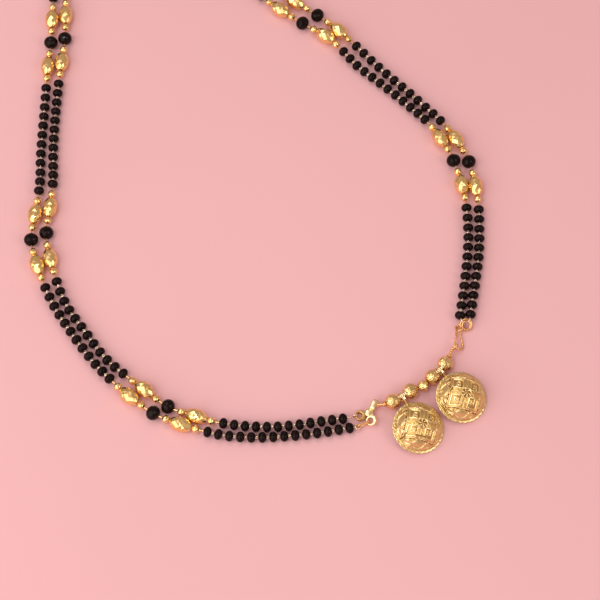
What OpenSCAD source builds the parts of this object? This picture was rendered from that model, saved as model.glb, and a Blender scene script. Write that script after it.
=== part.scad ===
// Mangalsutra: a two-strand black bead chain with gold bead groups and two bowl pendants (vatis).
// It lies flat in one closed loop. X runs across the loop, Y from the pendants to the clasp, Z up.

/* [Black beads] */
// Diameter of a small black bead
seed_d = 2.7; // [2.3:0.05:2.75]
// Length of a small black bead along its wire
seed_len = 2; // [1.6:0.1:2.2]
// Distance wanted between the middles of two small black beads
seed_pitch = 2.95; // [2.7:0.05:3.3]
// Diameter of a cut black crystal bead
crystal_d = 3.7; // [3:0.05:3.75]
// Length of a cut black crystal bead along its thread
crystal_len = 3.1; // [2.4:0.1:3.6]
// Diameter of the flat table at each end of a crystal
crystal_table_d = 1.9; // [1.6:0.1:2.4]
// Number of facets in each row round a crystal
crystal_facets = 10; // [8:1:12]

/* [Gold beads] */
// Diameter of a small gold ball
ball_d = 1.8; // [1.4:0.1:2.2]
// Largest diameter of a gold oval bead
oval_d = 3.5; // [2.8:0.1:3.6]
// Length of a gold oval bead
oval_len = 5.5; // [4.6:0.1:5.9]
// Diameter of the flat end of a gold oval bead
oval_end_d = 1.3; // [1.1:0.1:1.6]
// Width across the cut flats of a gold oval bead, as a share of its diameter
oval_flats = 0.94; // [0.9:0.01:0.98]
// Distance from a crystal to the ball beside it, middle to middle
crystal_to_ball = 3.8; // [3.3:0.1:4.2]
// Distance from a ball to the oval beside it, middle to middle
ball_to_oval = 4.1; // [3.9:0.1:4.4]
// Distance from the last ball of a group to the first small black bead
ball_to_seed = 3.2; // [2.6:0.1:3.6]

/* [Wire] */
// Diameter of the wire that carries the beads
wire_d = 0.44; // [0.36:0.02:0.5]
// Diameter of the hole drilled through each bead
bead_bore_d = 0.8; // [0.7:0.05:0.9]
// Middle diameter of the wire eye at the end of a strand
eye_d = 1.3; // [1.25:0.05:1.4]
// Free length between a group's thread and the black bead after it
thread_gap = 0.15; // [0.1:0.05:0.3]

/* [Centre pin] */
// Diameter of the wire pin through the five centre balls
pin_d = 0.44; // [0.36:0.02:0.48]
// Diameter of the hole in each centre ball and cap
pin_bore_d = 0.9; // [0.8:0.05:1.1]
// Diameter of the four large centre balls
centre_ball_d = 4; // [3.4:0.1:4.1]
// Diameter of the small middle ball
middle_ball_d = 2.9; // [2.4:0.1:3]
// Width across the cut flats of a centre ball, as a share of its diameter
centre_flats = 0.95; // [0.9:0.01:0.98]
// Diameter of the bead cap beside each outer centre ball
cap_d = 1.7; // [1.4:0.1:2]
// Length of a bead cap
cap_len = 0.7; // [0.5:0.1:0.8]

/* [Vati] */
// Diameter of a vati over its scalloped rim
vati_d = 13.8; // [12:0.1:14]
// Height of a vati from its rim to its crown
vati_h = 5.2; // [4:0.1:6]
// Wall of the hollow bowl
vati_wall = 0.5; // [0.4:0.05:0.8]
// Width of the rim outside the bowl
rim_w = 0.45; // [0.35:0.05:0.8]
// Thickness of the rim
rim_h = 0.6; // [0.4:0.05:0.9]
// Number of scallops round the rim
scallops = 30; // [24:1:36]
// Height of the raised ornament over the bowl
relief = 0.15; // [0.1:0.01:0.25]
// Number of leaves in the border
leaves = 8; // [6:1:9]
// Angle at which a vati leans on its rim
vati_lean = 14; // [10:1:17]
// Inner diameter of the bail band round the pin
bail_bore_d = 2; // [1.9:0.05:2.1]
// Wall of the bail band
bail_wall = 0.4; // [0.3:0.05:0.45]
// Width of the bail band along the pin
bail_w = 0.8; // [0.6:0.05:0.85]
// Length of the cross bar on top of the bail
bail_cross = 2.2; // [1.4:0.1:2.4]
// Diameter of the neck between the bail and the rim
neck_d = 0.8; // [0.6:0.05:1]

/* [Left connector] */
// Outer diameter of each round loop of the connector
loop_d = 2.9; // [2.6:0.1:3]
// Thickness of the connector's strip
strip = 0.3; // [0.25:0.05:0.35]
// Thickness of a round loop's wall on the side away from its wire
loop_wall = 0.8; // [0.3:0.1:0.9]
// Width of the connector's strip
strip_w = 1.2; // [1:0.1:1.3]
// Length of the connector's upright loop
upright_len = 3; // [2.8:0.1:3.2]
// Height of the connector's upright loop
upright_h = 1.8; // [1.7:0.1:1.9]
// Diameter of the solder that joins the three loops
solder_d = 2.4; // [2.3:0.1:2.6]

/* [Rings and clasp] */
// Wire of the rings and links
ring_wire_d = 0.38; // [0.3:0.02:0.42]
// Middle diameter of the right ring that gathers the strands
ring_d = 3; // [2.95:0.05:3.05]
// Middle diameter of each ring at the clasp
back_ring_d = 3.6; // [3.4:0.1:4]
// Wire of the clasp's hook
hook_d = 0.8; // [0.6:0.05:0.9]
// Middle diameter of each bend of the clasp's hook
hook_bend_d = 1.8; // [1.7:0.05:2]

/* [Hidden] */
$fn = 48;

// Middle of the loop's box on the drawing, which becomes the origin
loop_middle = [-12.175, 58.256];

// Route of each half strand, from the centre piece to the clasp. Columns: x, y, 1 where a crystal sits.
left_outer_route = [
    [12.8, -37.4, 0], [4.5, -38.8, 0], [-4, -39.7, 0], [-13, -40, 0], [-22, -39.1, 0], [-30.5, -36.7, 0],
    [-38, -33.4, 1], [-46, -27.3, 0], [-53.5, -19.5, 0], [-60, -10.8, 0], [-66, -1.3, 0], [-70.2, 8.5, 0],
    [-72.6, 17.2, 1], [-72, 25.3, 0], [-71.3, 34, 0], [-71.6, 44, 0], [-71.5, 54.5, 0], [-71.3, 65, 0],
    [-71.2, 73, 0], [-70.8, 80.5, 1], [-70.9, 88.5, 0], [-71, 97, 0], [-71, 106, 0], [-70.6, 115, 0],
    [-69.4, 123, 0], [-68, 128.8, 0]
];
left_inner_route = [
    [11.1, -34.8, 0], [5.2, -35.6, 0], [-3, -36.8, 0], [-10, -37.1, 0], [-20.5, -36.2, 0], [-27.3, -34.2, 0],
    [-34.2, -31.6, 1], [-41, -26.4, 0], [-50.2, -18.6, 0], [-57.05, -9.6, 0], [-62.85, -0.8, 0], [-67, 11, 0],
    [-68.6, 19.3, 1], [-68.1, 27, 0], [-67.7, 35, 0], [-68.2, 44, 0], [-68.3, 54, 0], [-68, 64, 0],
    [-67.4, 74, 0], [-66.9, 81.9, 1], [-67.1, 90, 0], [-67.5, 98, 0], [-67.8, 107, 0], [-67.5, 115, 0],
    [-66.3, 122.8, 0], [-64.8, 128.6, 0]
];
right_outer_route = [
    [45.25, -4.9, 0], [46.6, 3, 0], [48, 11.8, 0], [48.6, 20.6, 0], [48.4, 31, 0], [46.5, 41.5, 1],
    [42.8, 49.3, 0], [38.2, 55.8, 0], [31.3, 63.4, 0], [24.5, 70.2, 0], [17.6, 77.6, 0], [11.2, 84.4, 0],
    [5, 89.8, 1], [-1, 94.1, 0], [-9.5, 100.5, 0], [-16.5, 109, 0], [-20.5, 120, 0], [-22, 132.5, 0],
    [-24.3, 142.5, 1], [-28.5, 151, 0], [-36, 157.8, 0], [-45, 159.5, 0], [-53, 155.8, 0], [-57.8, 148.2, 0]
];
right_inner_route = [
    [42.45, -5.2, 0], [43.8, 2.8, 0], [45, 11.8, 0], [45.6, 20.9, 0], [44.9, 30.5, 0], [42.3, 41.9, 1],
    [39, 48.7, 0], [35.3, 54.4, 0], [29, 61.2, 0], [22.6, 67.2, 0], [16, 73.2, 0], [8.7, 81.5, 0],
    [0.7, 87.1, 1], [-5.8, 91.8, 0], [-12.5, 98, 0], [-19.7, 108, 0], [-23.5, 120, 0], [-25.2, 131.5, 0],
    [-27.2, 139.6, 1], [-31.4, 148.6, 0], [-37.8, 154.9, 0], [-45.3, 156.4, 0], [-51.3, 153, 0],
    [-54.8, 146.1, 0]
];

// Middles of the five centre balls, left to right
ball_spots = [[24.1, -30.3], [28.7, -27.4], [31.95, -25.85], [34.6, -23.4], [38, -19.6]];
// Headings in which the pin leaves the first and the last ball
pin_headings = [196, 62];
// Middle of each vati's rim, and the heading towards which both lean
vati_spots = [[30.4, -37.5], [41.8, -29]];
lean_heading = -35;

// Middles of the connector's two round loops; the first lies level and the second leans
round_loop_spots = [[15.6, -33.7, 0.7], [18.6, -35.2, 1.3]];
round_loop_leans = [0, 30];
// Heading on each round loop where the wire of a strand holds it
hold_headings = [190, 205];
solder_spot = [17.9, -33];
// Middle of the upright loop, and the heading of the hole through it
upright_spot = [19.2, -31];
upright_heading = -24;
// Height of the upright loop's lower bar over the ground, and the bar's width
bar_z = 0.6;
bar_w = 0.5;
// Middle of the outer strand's wire eye at the left
left_eye_spot = [14.9, -36.9, 1.05];

// Rings at the right: middle, then the line square to each ring or link
ring_spot = [43.92, -7.95, 1.3];
ring_normal = [0, -0.6, 0.8];
small_ring_spot = [42.2, -8.6, 0.94];
small_ring_normal = [-0.29, 0.27, 0.9];
small_ring_d = 1.96;
oval_link_spot = [41.81, -11.8, 1.15];
oval_link_normal = [0.5, 0, 0.85];
oval_link_half = 2.04;
oval_link_radii = [1.18, 0.84];
// Headings on the right ring where the two strands hold it
ring_holds = [60, 130];
// Middle and heading of the eye at the pin's right end
right_eye = [40.43, -15, 1.65];
right_eye_heading = 47;
// Middles of the two clasp rings
back_ring_spots = [[-65.3, 132.9], [-58.6, 142.6]];
// Headings on each clasp ring where the two strands hold it, counted from the line between the rings
back_holds = [[172, -138], [25, -15]];

bead_z = seed_d / 2;
group_z = max(crystal_d, oval_d) / 2;
pin_z = centre_ball_d / 2;
back_z = (hook_bend_d + hook_d) / 2 + 0.05;
rise = 2 * seed_pitch;
ball_offsets = [crystal_to_ball, crystal_to_ball + 2 * ball_to_oval];
oval_offset = crystal_to_ball + ball_to_oval;
group_reach = crystal_to_ball + 2 * ball_to_oval + ball_to_seed;
steps = 6;

function unit(v) = v / norm(v);
function smooth(t) = let (c = max(0, min(1, t))) c * c * (3 - 2 * c);
function flat(p) = [p.x, p.y];
function lift(p, z) = [p.x, p.y, z];
function heading(a) = [cos(a), sin(a), 0];
function pick(list, i) = flat(list[max(0, min(len(list) - 1, i))]);
function bend(a, b, c, d, t) =
    (2 * b + (c - a) * t + (2 * a - 5 * b + 4 * c - d) * t * t + (3 * b - a - 3 * c + d) * t * t * t) / 2;
function curve(route) = [
    for (i = [0 : len(route) - 2], k = [0 : steps - 1])
        bend(pick(route, i - 1), pick(route, i), pick(route, i + 1), pick(route, i + 2), k / steps),
    flat(route[len(route) - 1])
];
function lengths(p) = [
    for (i = 0, s = 0; i < len(p); i = i + 1, s = s + norm(p[min(i, len(p) - 1)] - p[i - 1])) s
];

// A strand holds its tables of x and y against length, the places of its crystals and its whole length
function strand(route) = let (p = curve(route), s = lengths(p)) [
    [for (i = [0 : len(p) - 1]) [s[i], p[i].x]],
    [for (i = [0 : len(p) - 1]) [s[i], p[i].y]],
    [for (i = [0 : len(route) - 1]) if (route[i][2] == 1) s[i * steps]],
    s[len(s) - 1]
];
left_outer = strand(left_outer_route);
left_inner = strand(left_inner_route);
right_outer = strand(right_outer_route);
right_inner = strand(right_inner_route);

function axis_z(line, s) =
    let (near = min([for (c = line[2]) abs(s - c)]))
    bead_z + (group_z - bead_z) * smooth((group_reach + rise - near) / rise);
function point(line, s) = [lookup(s, line[0]), lookup(s, line[1]), axis_z(line, s)];
function along(line, s) = unit(point(line, min(s + 0.5, line[3])) - point(line, max(s - 0.5, 0)));
function ball_stations(line) = [for (c = line[2], side = [-1, 1], d = ball_offsets) c + side * d];
function oval_stations(line) = [for (c = line[2], side = [-1, 1]) c + side * oval_offset];
function runs(line) = let (n = len(line[2])) [
    for (i = [0 : n]) [i == 0 ? 0 : line[2][i - 1] + group_reach, i == n ? line[3] : line[2][i] - group_reach]
];
function seeds(run) =
    let (n = round((run[1] - run[0]) / seed_pitch))
    [for (i = [0 : n]) run[0] + (run[1] - run[0]) * i / n];

// Moves a shape from the drawing to the middle of the loop
module put() {
    translate(-lift(loop_middle, 0)) children();
}

// Turns the Z axis to a direction
module aim(direction) {
    rotate([0, acos(direction.z / norm(direction)), atan2(direction.y, direction.x)]) children();
}

module rod(a, b, d) {
    translate(a) aim(b - a) cylinder(d = d, h = norm(b - a));
}

module torus(spot, normal, middle_d, wire) {
    translate(spot) aim(normal) rotate_extrude() translate([middle_d / 2, 0]) circle(d = wire, $fn = 24);
}

// Round wire bent along a path, built as one closed skin
module bent_wire(path, d, sides, side_on, closed = false) {
    n = len(path);
    before = [for (i = [0 : n - 1]) path[closed ? (i + n - 1) % n : max(i - 1, 0)]];
    after = [for (i = [0 : n - 1]) path[closed ? (i + 1) % n : min(i + 1, n - 1)]];
    skin = [
        for (i = [0 : n - 1])
            let (t = unit(after[i] - before[i]), u = unit(side_on - t * (side_on * t)), w = cross(t, u))
            for (k = [0 : sides - 1])
                path[i] + (u * cos(360 * k / sides) + w * sin(360 * k / sides)) * d / 2
    ];
    walls = [
        for (i = [0 : n - (closed ? 1 : 2)], k = [0 : sides - 1])
            let (a = i * sides, b = ((i + 1) % n) * sides, m = (k + 1) % sides)
            each [[a + k, b + k, b + m], [a + k, b + m, a + m]]
    ];
    ends = closed ? [] : [
        [for (k = [0 : sides - 1]) k],
        [for (k = [sides - 1 : -1 : 0]) (n - 1) * sides + k]
    ];
    polyhedron(points = skin, faces = concat(walls, ends));
}

// An arc from one angle to another, in the plane of two directions
function arc(spot, ahead, up, r, from, to, n) = [
    for (i = [0 : n]) let (a = from + (to - from) * i / n) spot + (ahead * cos(a) + up * sin(a)) * r
];
// A closed link with an arc at each end
function link_path(near, far, near_r, far_r, up) = let (ahead = unit(far - near))
    concat(arc(far, ahead, up, far_r, -85, 85, 7), arc(near, ahead, up, near_r, 95, 265, 7));

module seed() {
    corner = seed_len / 2;
    rotate_extrude() {
        translate([seed_d / 2 - corner, 0]) intersection() {
            circle(r = corner);
            translate([0, -corner]) square([corner, 2 * corner]);
        }
        translate([0, -corner]) square([seed_d / 2 - corner, 2 * corner]);
    }
}

// An eye of wire that stands out of the last bead and holds another piece at its middle
module end_eye(bead, spot, held_line) {
    way = unit(spot - bead);
    inset = seed_len / 4;
    rod(bead + way * inset, spot - way * eye_d / 2, wire_d);
    torus(spot, held_line - way * (way * held_line), eye_d, wire_d);
}

// The small black beads of a half strand: a string for each run, joined by the wire between them
module black_beads(line, centre_eye, centre_line, back_eye, back_line) {
    color("black") put() {
        for (run = runs(line)) {
            places = seeds(run);
            for (s = places) translate(point(line, s)) aim(along(line, s)) seed();
            for (i = [1 : len(places) - 1]) {
                a = point(line, places[i - 1]);
                b = point(line, places[i]);
                inset = unit(b - a) * seed_len / 4;
                rod(a + inset, b - inset, wire_d);
            }
        }
        end_eye(point(line, 0), centre_eye, centre_line);
        end_eye(point(line, line[3]), back_eye, back_line);
    }
}

module crystal() {
    half = crystal_len / 2;
    n = crystal_facets;
    rows = [
        [-half, crystal_table_d / 2], [-half / 2, crystal_d * 0.44], [0, crystal_d / 2],
        [half / 2, crystal_d * 0.44], [half, crystal_table_d / 2]
    ];
    corners = [
        for (j = [0 : len(rows) - 1], k = [0 : n - 1])
            let (a = 360 * (k + (j % 2) / 2) / n) [rows[j][1] * cos(a), rows[j][1] * sin(a), rows[j][0]]
    ];
    bands = [
        for (j = [0 : len(rows) - 2], k = [0 : n - 1])
            let (a = j * n, b = (j + 1) * n, m = (k + 1) % n)
            each (j % 2 == 0)
                ? [[a + k, b + k, a + m], [a + m, b + k, b + m]]
                : [[a + k, b + k, b + m], [a + k, b + m, a + m]]
    ];
    tables = [[for (k = [0 : n - 1]) k], [for (k = [n - 1 : -1 : 0]) (len(rows) - 1) * n + k]];
    difference() {
        polyhedron(points = corners, faces = concat(bands, tables));
        cylinder(d = bead_bore_d, h = 2 * crystal_len, center = true);
    }
}

// A ball drilled through, with eight flats cut round its belly
module cut_ball(d, bore, flats) {
    difference() {
        intersection() {
            sphere(d = d);
            cylinder(d = d * flats / cos(22.5), h = 2 * d, center = true, $fn = 8);
        }
        cylinder(d = bore, h = 2 * d, center = true);
    }
}

// An oval bead: an arc turned about the thread, with eight flats cut along its belly
module oval() {
    half = oval_len / 2;
    drop = (oval_d - oval_end_d) / 2;
    arc_r = (half * half + drop * drop) / (2 * drop);
    difference() {
        intersection() {
            rotate_extrude() intersection() {
                translate([oval_d / 2 - arc_r, 0]) circle(r = arc_r, $fn = 96);
                translate([0, -half]) square([oval_d, oval_len]);
            }
            cylinder(d = oval_d * oval_flats / cos(22.5), h = 2 * oval_len, center = true, $fn = 8);
        }
        cylinder(d = bead_bore_d, h = 2 * oval_len, center = true);
    }
}

module crystals(line) {
    color("black") put() for (s = line[2]) translate(point(line, s)) aim(along(line, s)) crystal();
}

module gold_balls(line) {
    color("gold") put() for (s = ball_stations(line)) translate(point(line, s)) aim(along(line, s))
        difference() {
            sphere(d = ball_d);
            cylinder(d = bead_bore_d, h = 2 * ball_d, center = true);
        }
}

module gold_ovals(line) {
    color("gold") put() for (s = oval_stations(line)) translate(point(line, s)) aim(along(line, s)) oval();
}

// The thread through each group: straight inside every bead, from one run of black beads to the next
module threads(line) {
    reach = group_reach - seed_len / 2 - thread_gap;
    places = [
        [-ball_offsets[1], ball_d], [-oval_offset, oval_len], [-ball_offsets[0], ball_d], [0, crystal_len],
        [ball_offsets[0], ball_d], [oval_offset, oval_len], [ball_offsets[1], ball_d]
    ];
    color("goldenrod") put() for (c = line[2]) {
        inside = [
            for (p = places, side = [-1, 1]) point(line, c + p[0]) + along(line, c + p[0]) * side * p[1] / 2
        ];
        bent_wire(concat([point(line, c - reach)], inside, [point(line, c + reach)]), wire_d, 8, [0, 0, 1]);
    }
}

// The half wall of a round loop that a strand's wire holds: its middle, and the loop's own directions
function loop_down(i) = let (t = round_loop_leans[i]) heading(hold_headings[i]) * cos(t) - [0, 0, sin(t)];
function loop_up(i) = let (t = round_loop_leans[i]) heading(hold_headings[i]) * sin(t) + [0, 0, cos(t)];
function loop_hold(i) = round_loop_spots[i] + loop_down(i) * (loop_d - strip) / 2 + loop_up(i) * strip_w / 4;

ring_across = unit(cross([0, 1, 0], ring_normal));
ring_up = cross(unit(ring_normal), ring_across);
function ring_hold(i) = ring_spot + (ring_across * cos(ring_holds[i]) + ring_up * sin(ring_holds[i])) * ring_d / 2;
function ring_line(i) = ring_up * cos(ring_holds[i]) - ring_across * sin(ring_holds[i]);

clasp_way = lift(unit(back_ring_spots[1] - back_ring_spots[0]), 0);
clasp_heading = atan2(clasp_way.y, clasp_way.x);
function back_hold(i, k) =
    lift(back_ring_spots[i], back_z) + heading(clasp_heading + back_holds[i][k]) * back_ring_d / 2;
function back_line(i, k) = heading(clasp_heading + back_holds[i][k] + 90);

module left_outer_black_beads() {
    black_beads(left_outer, left_eye_spot, [0, 0, 1], back_hold(0, 0), back_line(0, 0));
}

module left_inner_black_beads() {
    black_beads(left_inner, loop_hold(0), heading(hold_headings[0] + 90), back_hold(0, 1), back_line(0, 1));
}

module right_outer_black_beads() {
    black_beads(right_outer, ring_hold(0), ring_line(0), back_hold(1, 0), back_line(1, 0));
}

module right_inner_black_beads() {
    black_beads(right_inner, ring_hold(1), ring_line(1), back_hold(1, 1), back_line(1, 1));
}

module left_outer_crystals() { crystals(left_outer); }
module left_inner_crystals() { crystals(left_inner); }
module right_outer_crystals() { crystals(right_outer); }
module right_inner_crystals() { crystals(right_inner); }
module left_outer_gold_balls() { gold_balls(left_outer); }
module left_inner_gold_balls() { gold_balls(left_inner); }
module right_outer_gold_balls() { gold_balls(right_outer); }
module right_inner_gold_balls() { gold_balls(right_inner); }
module left_outer_gold_ovals() { gold_ovals(left_outer); }
module left_inner_gold_ovals() { gold_ovals(left_inner); }
module right_outer_gold_ovals() { gold_ovals(right_outer); }
module right_inner_gold_ovals() { gold_ovals(right_inner); }
module left_outer_threads() { threads(left_outer); }
module left_inner_threads() { threads(left_inner); }
module right_outer_threads() { threads(right_outer); }
module right_inner_threads() { threads(right_inner); }

last_ball = len(ball_spots) - 1;
cap_gap = 0.1;
function ball_size(i) = i == 2 ? middle_ball_d : centre_ball_d;
function ball_way(i) =
    i == 0 ? -heading(pin_headings[0]) :
    i == last_ball ? heading(pin_headings[1]) :
    lift(unit(ball_spots[i + 1] - ball_spots[i - 1]), 0);
function pin_end(k) =
    lift(ball_spots[k * last_ball], pin_z) + heading(pin_headings[k]) * (centre_ball_d / 2 + cap_gap + cap_len);

// The pin is one wire: an eye round the connector's bar, a run through the balls and an eye
pin_eye_r = 0.55;
pin_eye_z = 0.8;
pin_eye_inset = 0.15;
right_eye_half = 0.95;

module centre_pin() {
    up = [0, 0, 1];
    left_way = lift(unit(ball_spots[0] - upright_spot), 0);
    left_bend = lift(upright_spot, pin_eye_z) + left_way * pin_eye_inset;
    right_way = heading(right_eye_heading);
    right_bend = right_eye + right_way * right_eye_half;
    path = concat(
        [left_bend + left_way * 1.9 + up * 0.1, left_bend + left_way * 0.9 - up * 0.5],
        arc(left_bend, left_way, up, pin_eye_r, 270, 90, 10),
        [left_bend + left_way * 1 + up * 0.65, pin_end(0)],
        [for (i = [0 : last_ball], side = [-1, 1])
            lift(ball_spots[i], pin_z) + ball_way(i) * side * ball_size(i) / 2],
        [pin_end(1)],
        [right_eye - right_way * 0.6 + up * (pin_eye_r - 0.05)],
        arc(right_bend, right_way, up, pin_eye_r, 90, -90, 10),
        [right_eye - right_way * 0.2 - up * (pin_eye_r - 0.05), right_eye - right_way * 0.9 - up * 0.2]
    );
    color("gold") put() bent_wire(path, pin_d, 8, heading(120));
}

module centre_ball(i) {
    color("gold") put() translate(lift(ball_spots[i], pin_z)) aim(ball_way(i))
        cut_ball(ball_size(i), pin_bore_d, centre_flats);
}

module centre_ball_1() { centre_ball(0); }
module centre_ball_2() { centre_ball(1); }
module centre_ball_3() { centre_ball(2); }
module centre_ball_4() { centre_ball(3); }
module centre_ball_5() { centre_ball(4); }

// A cone that covers the hole of an outer ball
module pin_cap(k) {
    way = heading(pin_headings[k]);
    color("gold") put() translate(pin_end(k) - way * cap_len) aim(way) difference() {
        cylinder(d1 = cap_d, d2 = cap_d * 0.7, h = cap_len);
        cylinder(d = pin_bore_d, h = 3 * cap_len, center = true);
    }
}

module left_pin_cap() { pin_cap(0); }
module right_pin_cap() { pin_cap(1); }

// Plan of the raised ornament: border leaves, four fret squares, a ring and a small flower
module ornament(rim_r) {
    leaf_in = 0.7 * rim_r;
    leaf_out = 0.93 * rim_r;
    leaf_w = 0.16 * rim_r;
    fret = 0.36 * rim_r;
    fret_at = 0.35 * rim_r;
    line_w = 0.045 * rim_r;
    flower = 0.1 * rim_r;
    for (i = [0 : leaves - 1]) rotate(360 * (i + 0.5) / leaves)
        polygon([[leaf_in, 0], [leaf_in + leaf_w / 2, leaf_w], [leaf_out, leaf_w], [leaf_out, -leaf_w],
            [leaf_in + leaf_w / 2, -leaf_w]]);
    for (i = [0 : 3]) rotate(90 * i - 10) translate([fret_at, fret_at]) {
        difference() {
            square(fret, center = true);
            square(fret - 2 * line_w, center = true);
        }
        square(fret - 4.5 * line_w, center = true);
    }
    difference() {
        circle(r = 2.3 * flower);
        circle(r = 1.9 * flower);
    }
    for (i = [0 : 5]) rotate(60 * i) translate([flower, 0]) circle(r = flower * 0.4, $fn = 24);
    circle(r = flower * 0.45, $fn = 24);
}

// The outside of a bowl and its scalloped rim, and the ornament over it
module bowl_outside(rim_r, bowl_r) {
    lobe_r = 0.75 * PI * vati_d / scallops;
    intersection() {
        translate([0, 0, vati_h - bowl_r]) sphere(r = bowl_r, $fn = 96);
        cylinder(r = vati_d, h = 2 * vati_h);
    }
    linear_extrude(rim_h) {
        circle(r = vati_d / 2 - lobe_r);
        for (i = [0 : scallops - 1]) rotate(360 * i / scallops)
            translate([vati_d / 2 - lobe_r, 0]) circle(r = lobe_r, $fn = 24);
    }
    intersection() {
        translate([0, 0, vati_h - bowl_r]) sphere(r = bowl_r + relief, $fn = 96);
        translate([0, 0, rim_h / 2]) linear_extrude(2 * vati_h) ornament(rim_r);
    }
}

// A lean is a turn about a level axis square to the way it goes
lean_axis = heading(lean_heading + 90);
function lean(v) = v * cos(vati_lean) + cross(lean_axis, v) * sin(vati_lean)
    + lean_axis * (lean_axis * v) * (1 - cos(vati_lean));

// Side of the cross bar: its ends rise clear of the balls
module bar_side() {
    foot = 0.65 * bail_cross;
    polygon([
        [-foot / 2, -bail_wall / 2], [foot / 2, -bail_wall / 2],
        [bail_cross / 2, bail_wall], [-bail_cross / 2, bail_wall]
    ]);
}

// A vati with its bail: a band round the pin, a cross bar on top and a neck down to the rim
module vati(spot, before, after) {
    rim_r = vati_d / 2 - rim_w;
    bowl_r = (rim_r * rim_r + vati_h * vati_h) / (2 * vati_h);
    seat = lift(spot, vati_d / 2 * sin(vati_lean));
    pin_way = lift(unit(after - before), 0);
    out_way = lift(unit((before + after) / 2 - spot), 0);
    hang = 0.35;
    band = lift((before + after) / 2, pin_z) - out_way * hang;
    band_r = bail_bore_d / 2 + bail_wall;
    neck_foot = seat + lean(out_way * (rim_r - vati_wall / 2) + [0, 0, rim_h / 2]);
    neck_top = band - out_way * (band_r - bail_wall / 2) + [0, 0, bail_wall];
    color("gold") put() difference() {
        union() {
            translate(seat) rotate(a = vati_lean, v = lean_axis) bowl_outside(rim_r, bowl_r);
            translate(band) aim(pin_way) cylinder(r = band_r, h = bail_w, center = true);
            translate(band + [0, 0, band_r]) rotate([90, 0, atan2(pin_way.y, pin_way.x)])
                linear_extrude(bail_w, center = true) bar_side();
            rod(neck_foot, neck_top, neck_d);
        }
        translate(band) aim(pin_way) cylinder(d = bail_bore_d, h = 2 * bail_cross, center = true);
        translate(seat) rotate(a = vati_lean, v = lean_axis) intersection() {
            translate([0, 0, vati_h - bowl_r]) sphere(r = bowl_r - vati_wall, $fn = 96);
            translate([0, 0, -vati_h]) cylinder(r = vati_d, h = 3 * vati_h);
        }
    }
}

module left_vati() { vati(vati_spots[0], ball_spots[0], ball_spots[1]); }
module right_vati() { vati(vati_spots[1], ball_spots[3], ball_spots[4]); }

module loop_frame(i) {
    translate(round_loop_spots[i]) rotate([0, 0, hold_headings[i]]) rotate([0, round_loop_leans[i], 0]) children();
}

module upright_frame() {
    translate(lift(upright_spot, bar_z + upright_h / 2)) rotate([0, 0, upright_heading]) children();
}

// The left connector: two round loops for the strands and an upright one for the pin, soldered together.
// Each round loop is cut to half its width where a wire holds it, and the upright one has a narrow bar.
module left_connector() {
    color("gold") put() difference() {
        union() {
            for (i = [0, 1]) loop_frame(i) cylinder(d = loop_d, h = strip_w, center = true);
            translate(lift(solder_spot, 1)) cylinder(d = solder_d, h = strip_w, center = true);
            upright_frame() cube([strip_w, upright_len, upright_h], center = true);
        }
        for (i = [0, 1]) loop_frame(i) {
            translate([(loop_wall - strip) / 2, 0, 0])
                cylinder(d = loop_d - strip - loop_wall, h = 4 * strip_w, center = true);
            translate([loop_d / 4, -loop_d, -2 * strip_w]) cube([loop_d, 2 * loop_d, 2 * strip_w]);
        }
        upright_frame() {
            cube([3 * strip_w, upright_len - 2 * strip, upright_h - 2 * strip], center = true);
            translate([-strip_w / 2 - bar_w, 0, -upright_h / 2])
                cube([2 * strip_w, upright_len - 2 * strip, 3 * strip], center = true);
        }
    }
}

// The link from the outer strand's eye to the leaning loop, standing on edge
module left_link() {
    near_r = 0.56;
    far_r = 0.62;
    far = loop_hold(1);
    way = unit(far - left_eye_spot);
    near = left_eye_spot + way * near_r;
    up = unit([0, 0, 1] - way * way.z);
    color("gold") put()
        bent_wire(link_path(near, far, near_r, far_r, up), ring_wire_d, 6, cross(way, up), closed = true);
}

module right_ring() {
    color("gold") put() torus(ring_spot, ring_normal, ring_d, ring_wire_d);
}

module right_small_ring() {
    color("gold") put() torus(small_ring_spot, small_ring_normal, small_ring_d, ring_wire_d);
}

module right_oval_link() {
    normal = unit(oval_link_normal);
    way = [0, -1, 0];
    ahead = unit(way - normal * (normal * way));
    near = oval_link_spot - ahead * oval_link_half;
    far = oval_link_spot + ahead * oval_link_half;
    color("gold") put() bent_wire(link_path(near, far, oval_link_radii[1], oval_link_radii[0],
        cross(normal, ahead)), ring_wire_d, 6, normal, closed = true);
}

module left_back_ring() {
    color("gold") put() torus(lift(back_ring_spots[0], back_z), [0, 0, 1], back_ring_d, ring_wire_d);
}

module right_back_ring() {
    color("gold") put() torus(lift(back_ring_spots[1], back_z), [0, 0, 1], back_ring_d, ring_wire_d);
}

// The clasp's hook: an upright S whose two bends hold the clasp rings
module clasp_hook() {
    r = hook_bend_d / 2;
    first = lift(back_ring_spots[0], back_z) + clasp_way * back_ring_d / 2;
    last = lift(back_ring_spots[1], back_z) - clasp_way * back_ring_d / 2;
    path = concat(
        arc(first, clasp_way, [0, 0, 1], r, 50, 270, 12),
        arc(last, clasp_way, [0, 0, 1], r, 90, -130, 12)
    );
    color("gold") put() bent_wire(path, hook_d, 8, cross(clasp_way, [0, 0, 1]));
}

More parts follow.
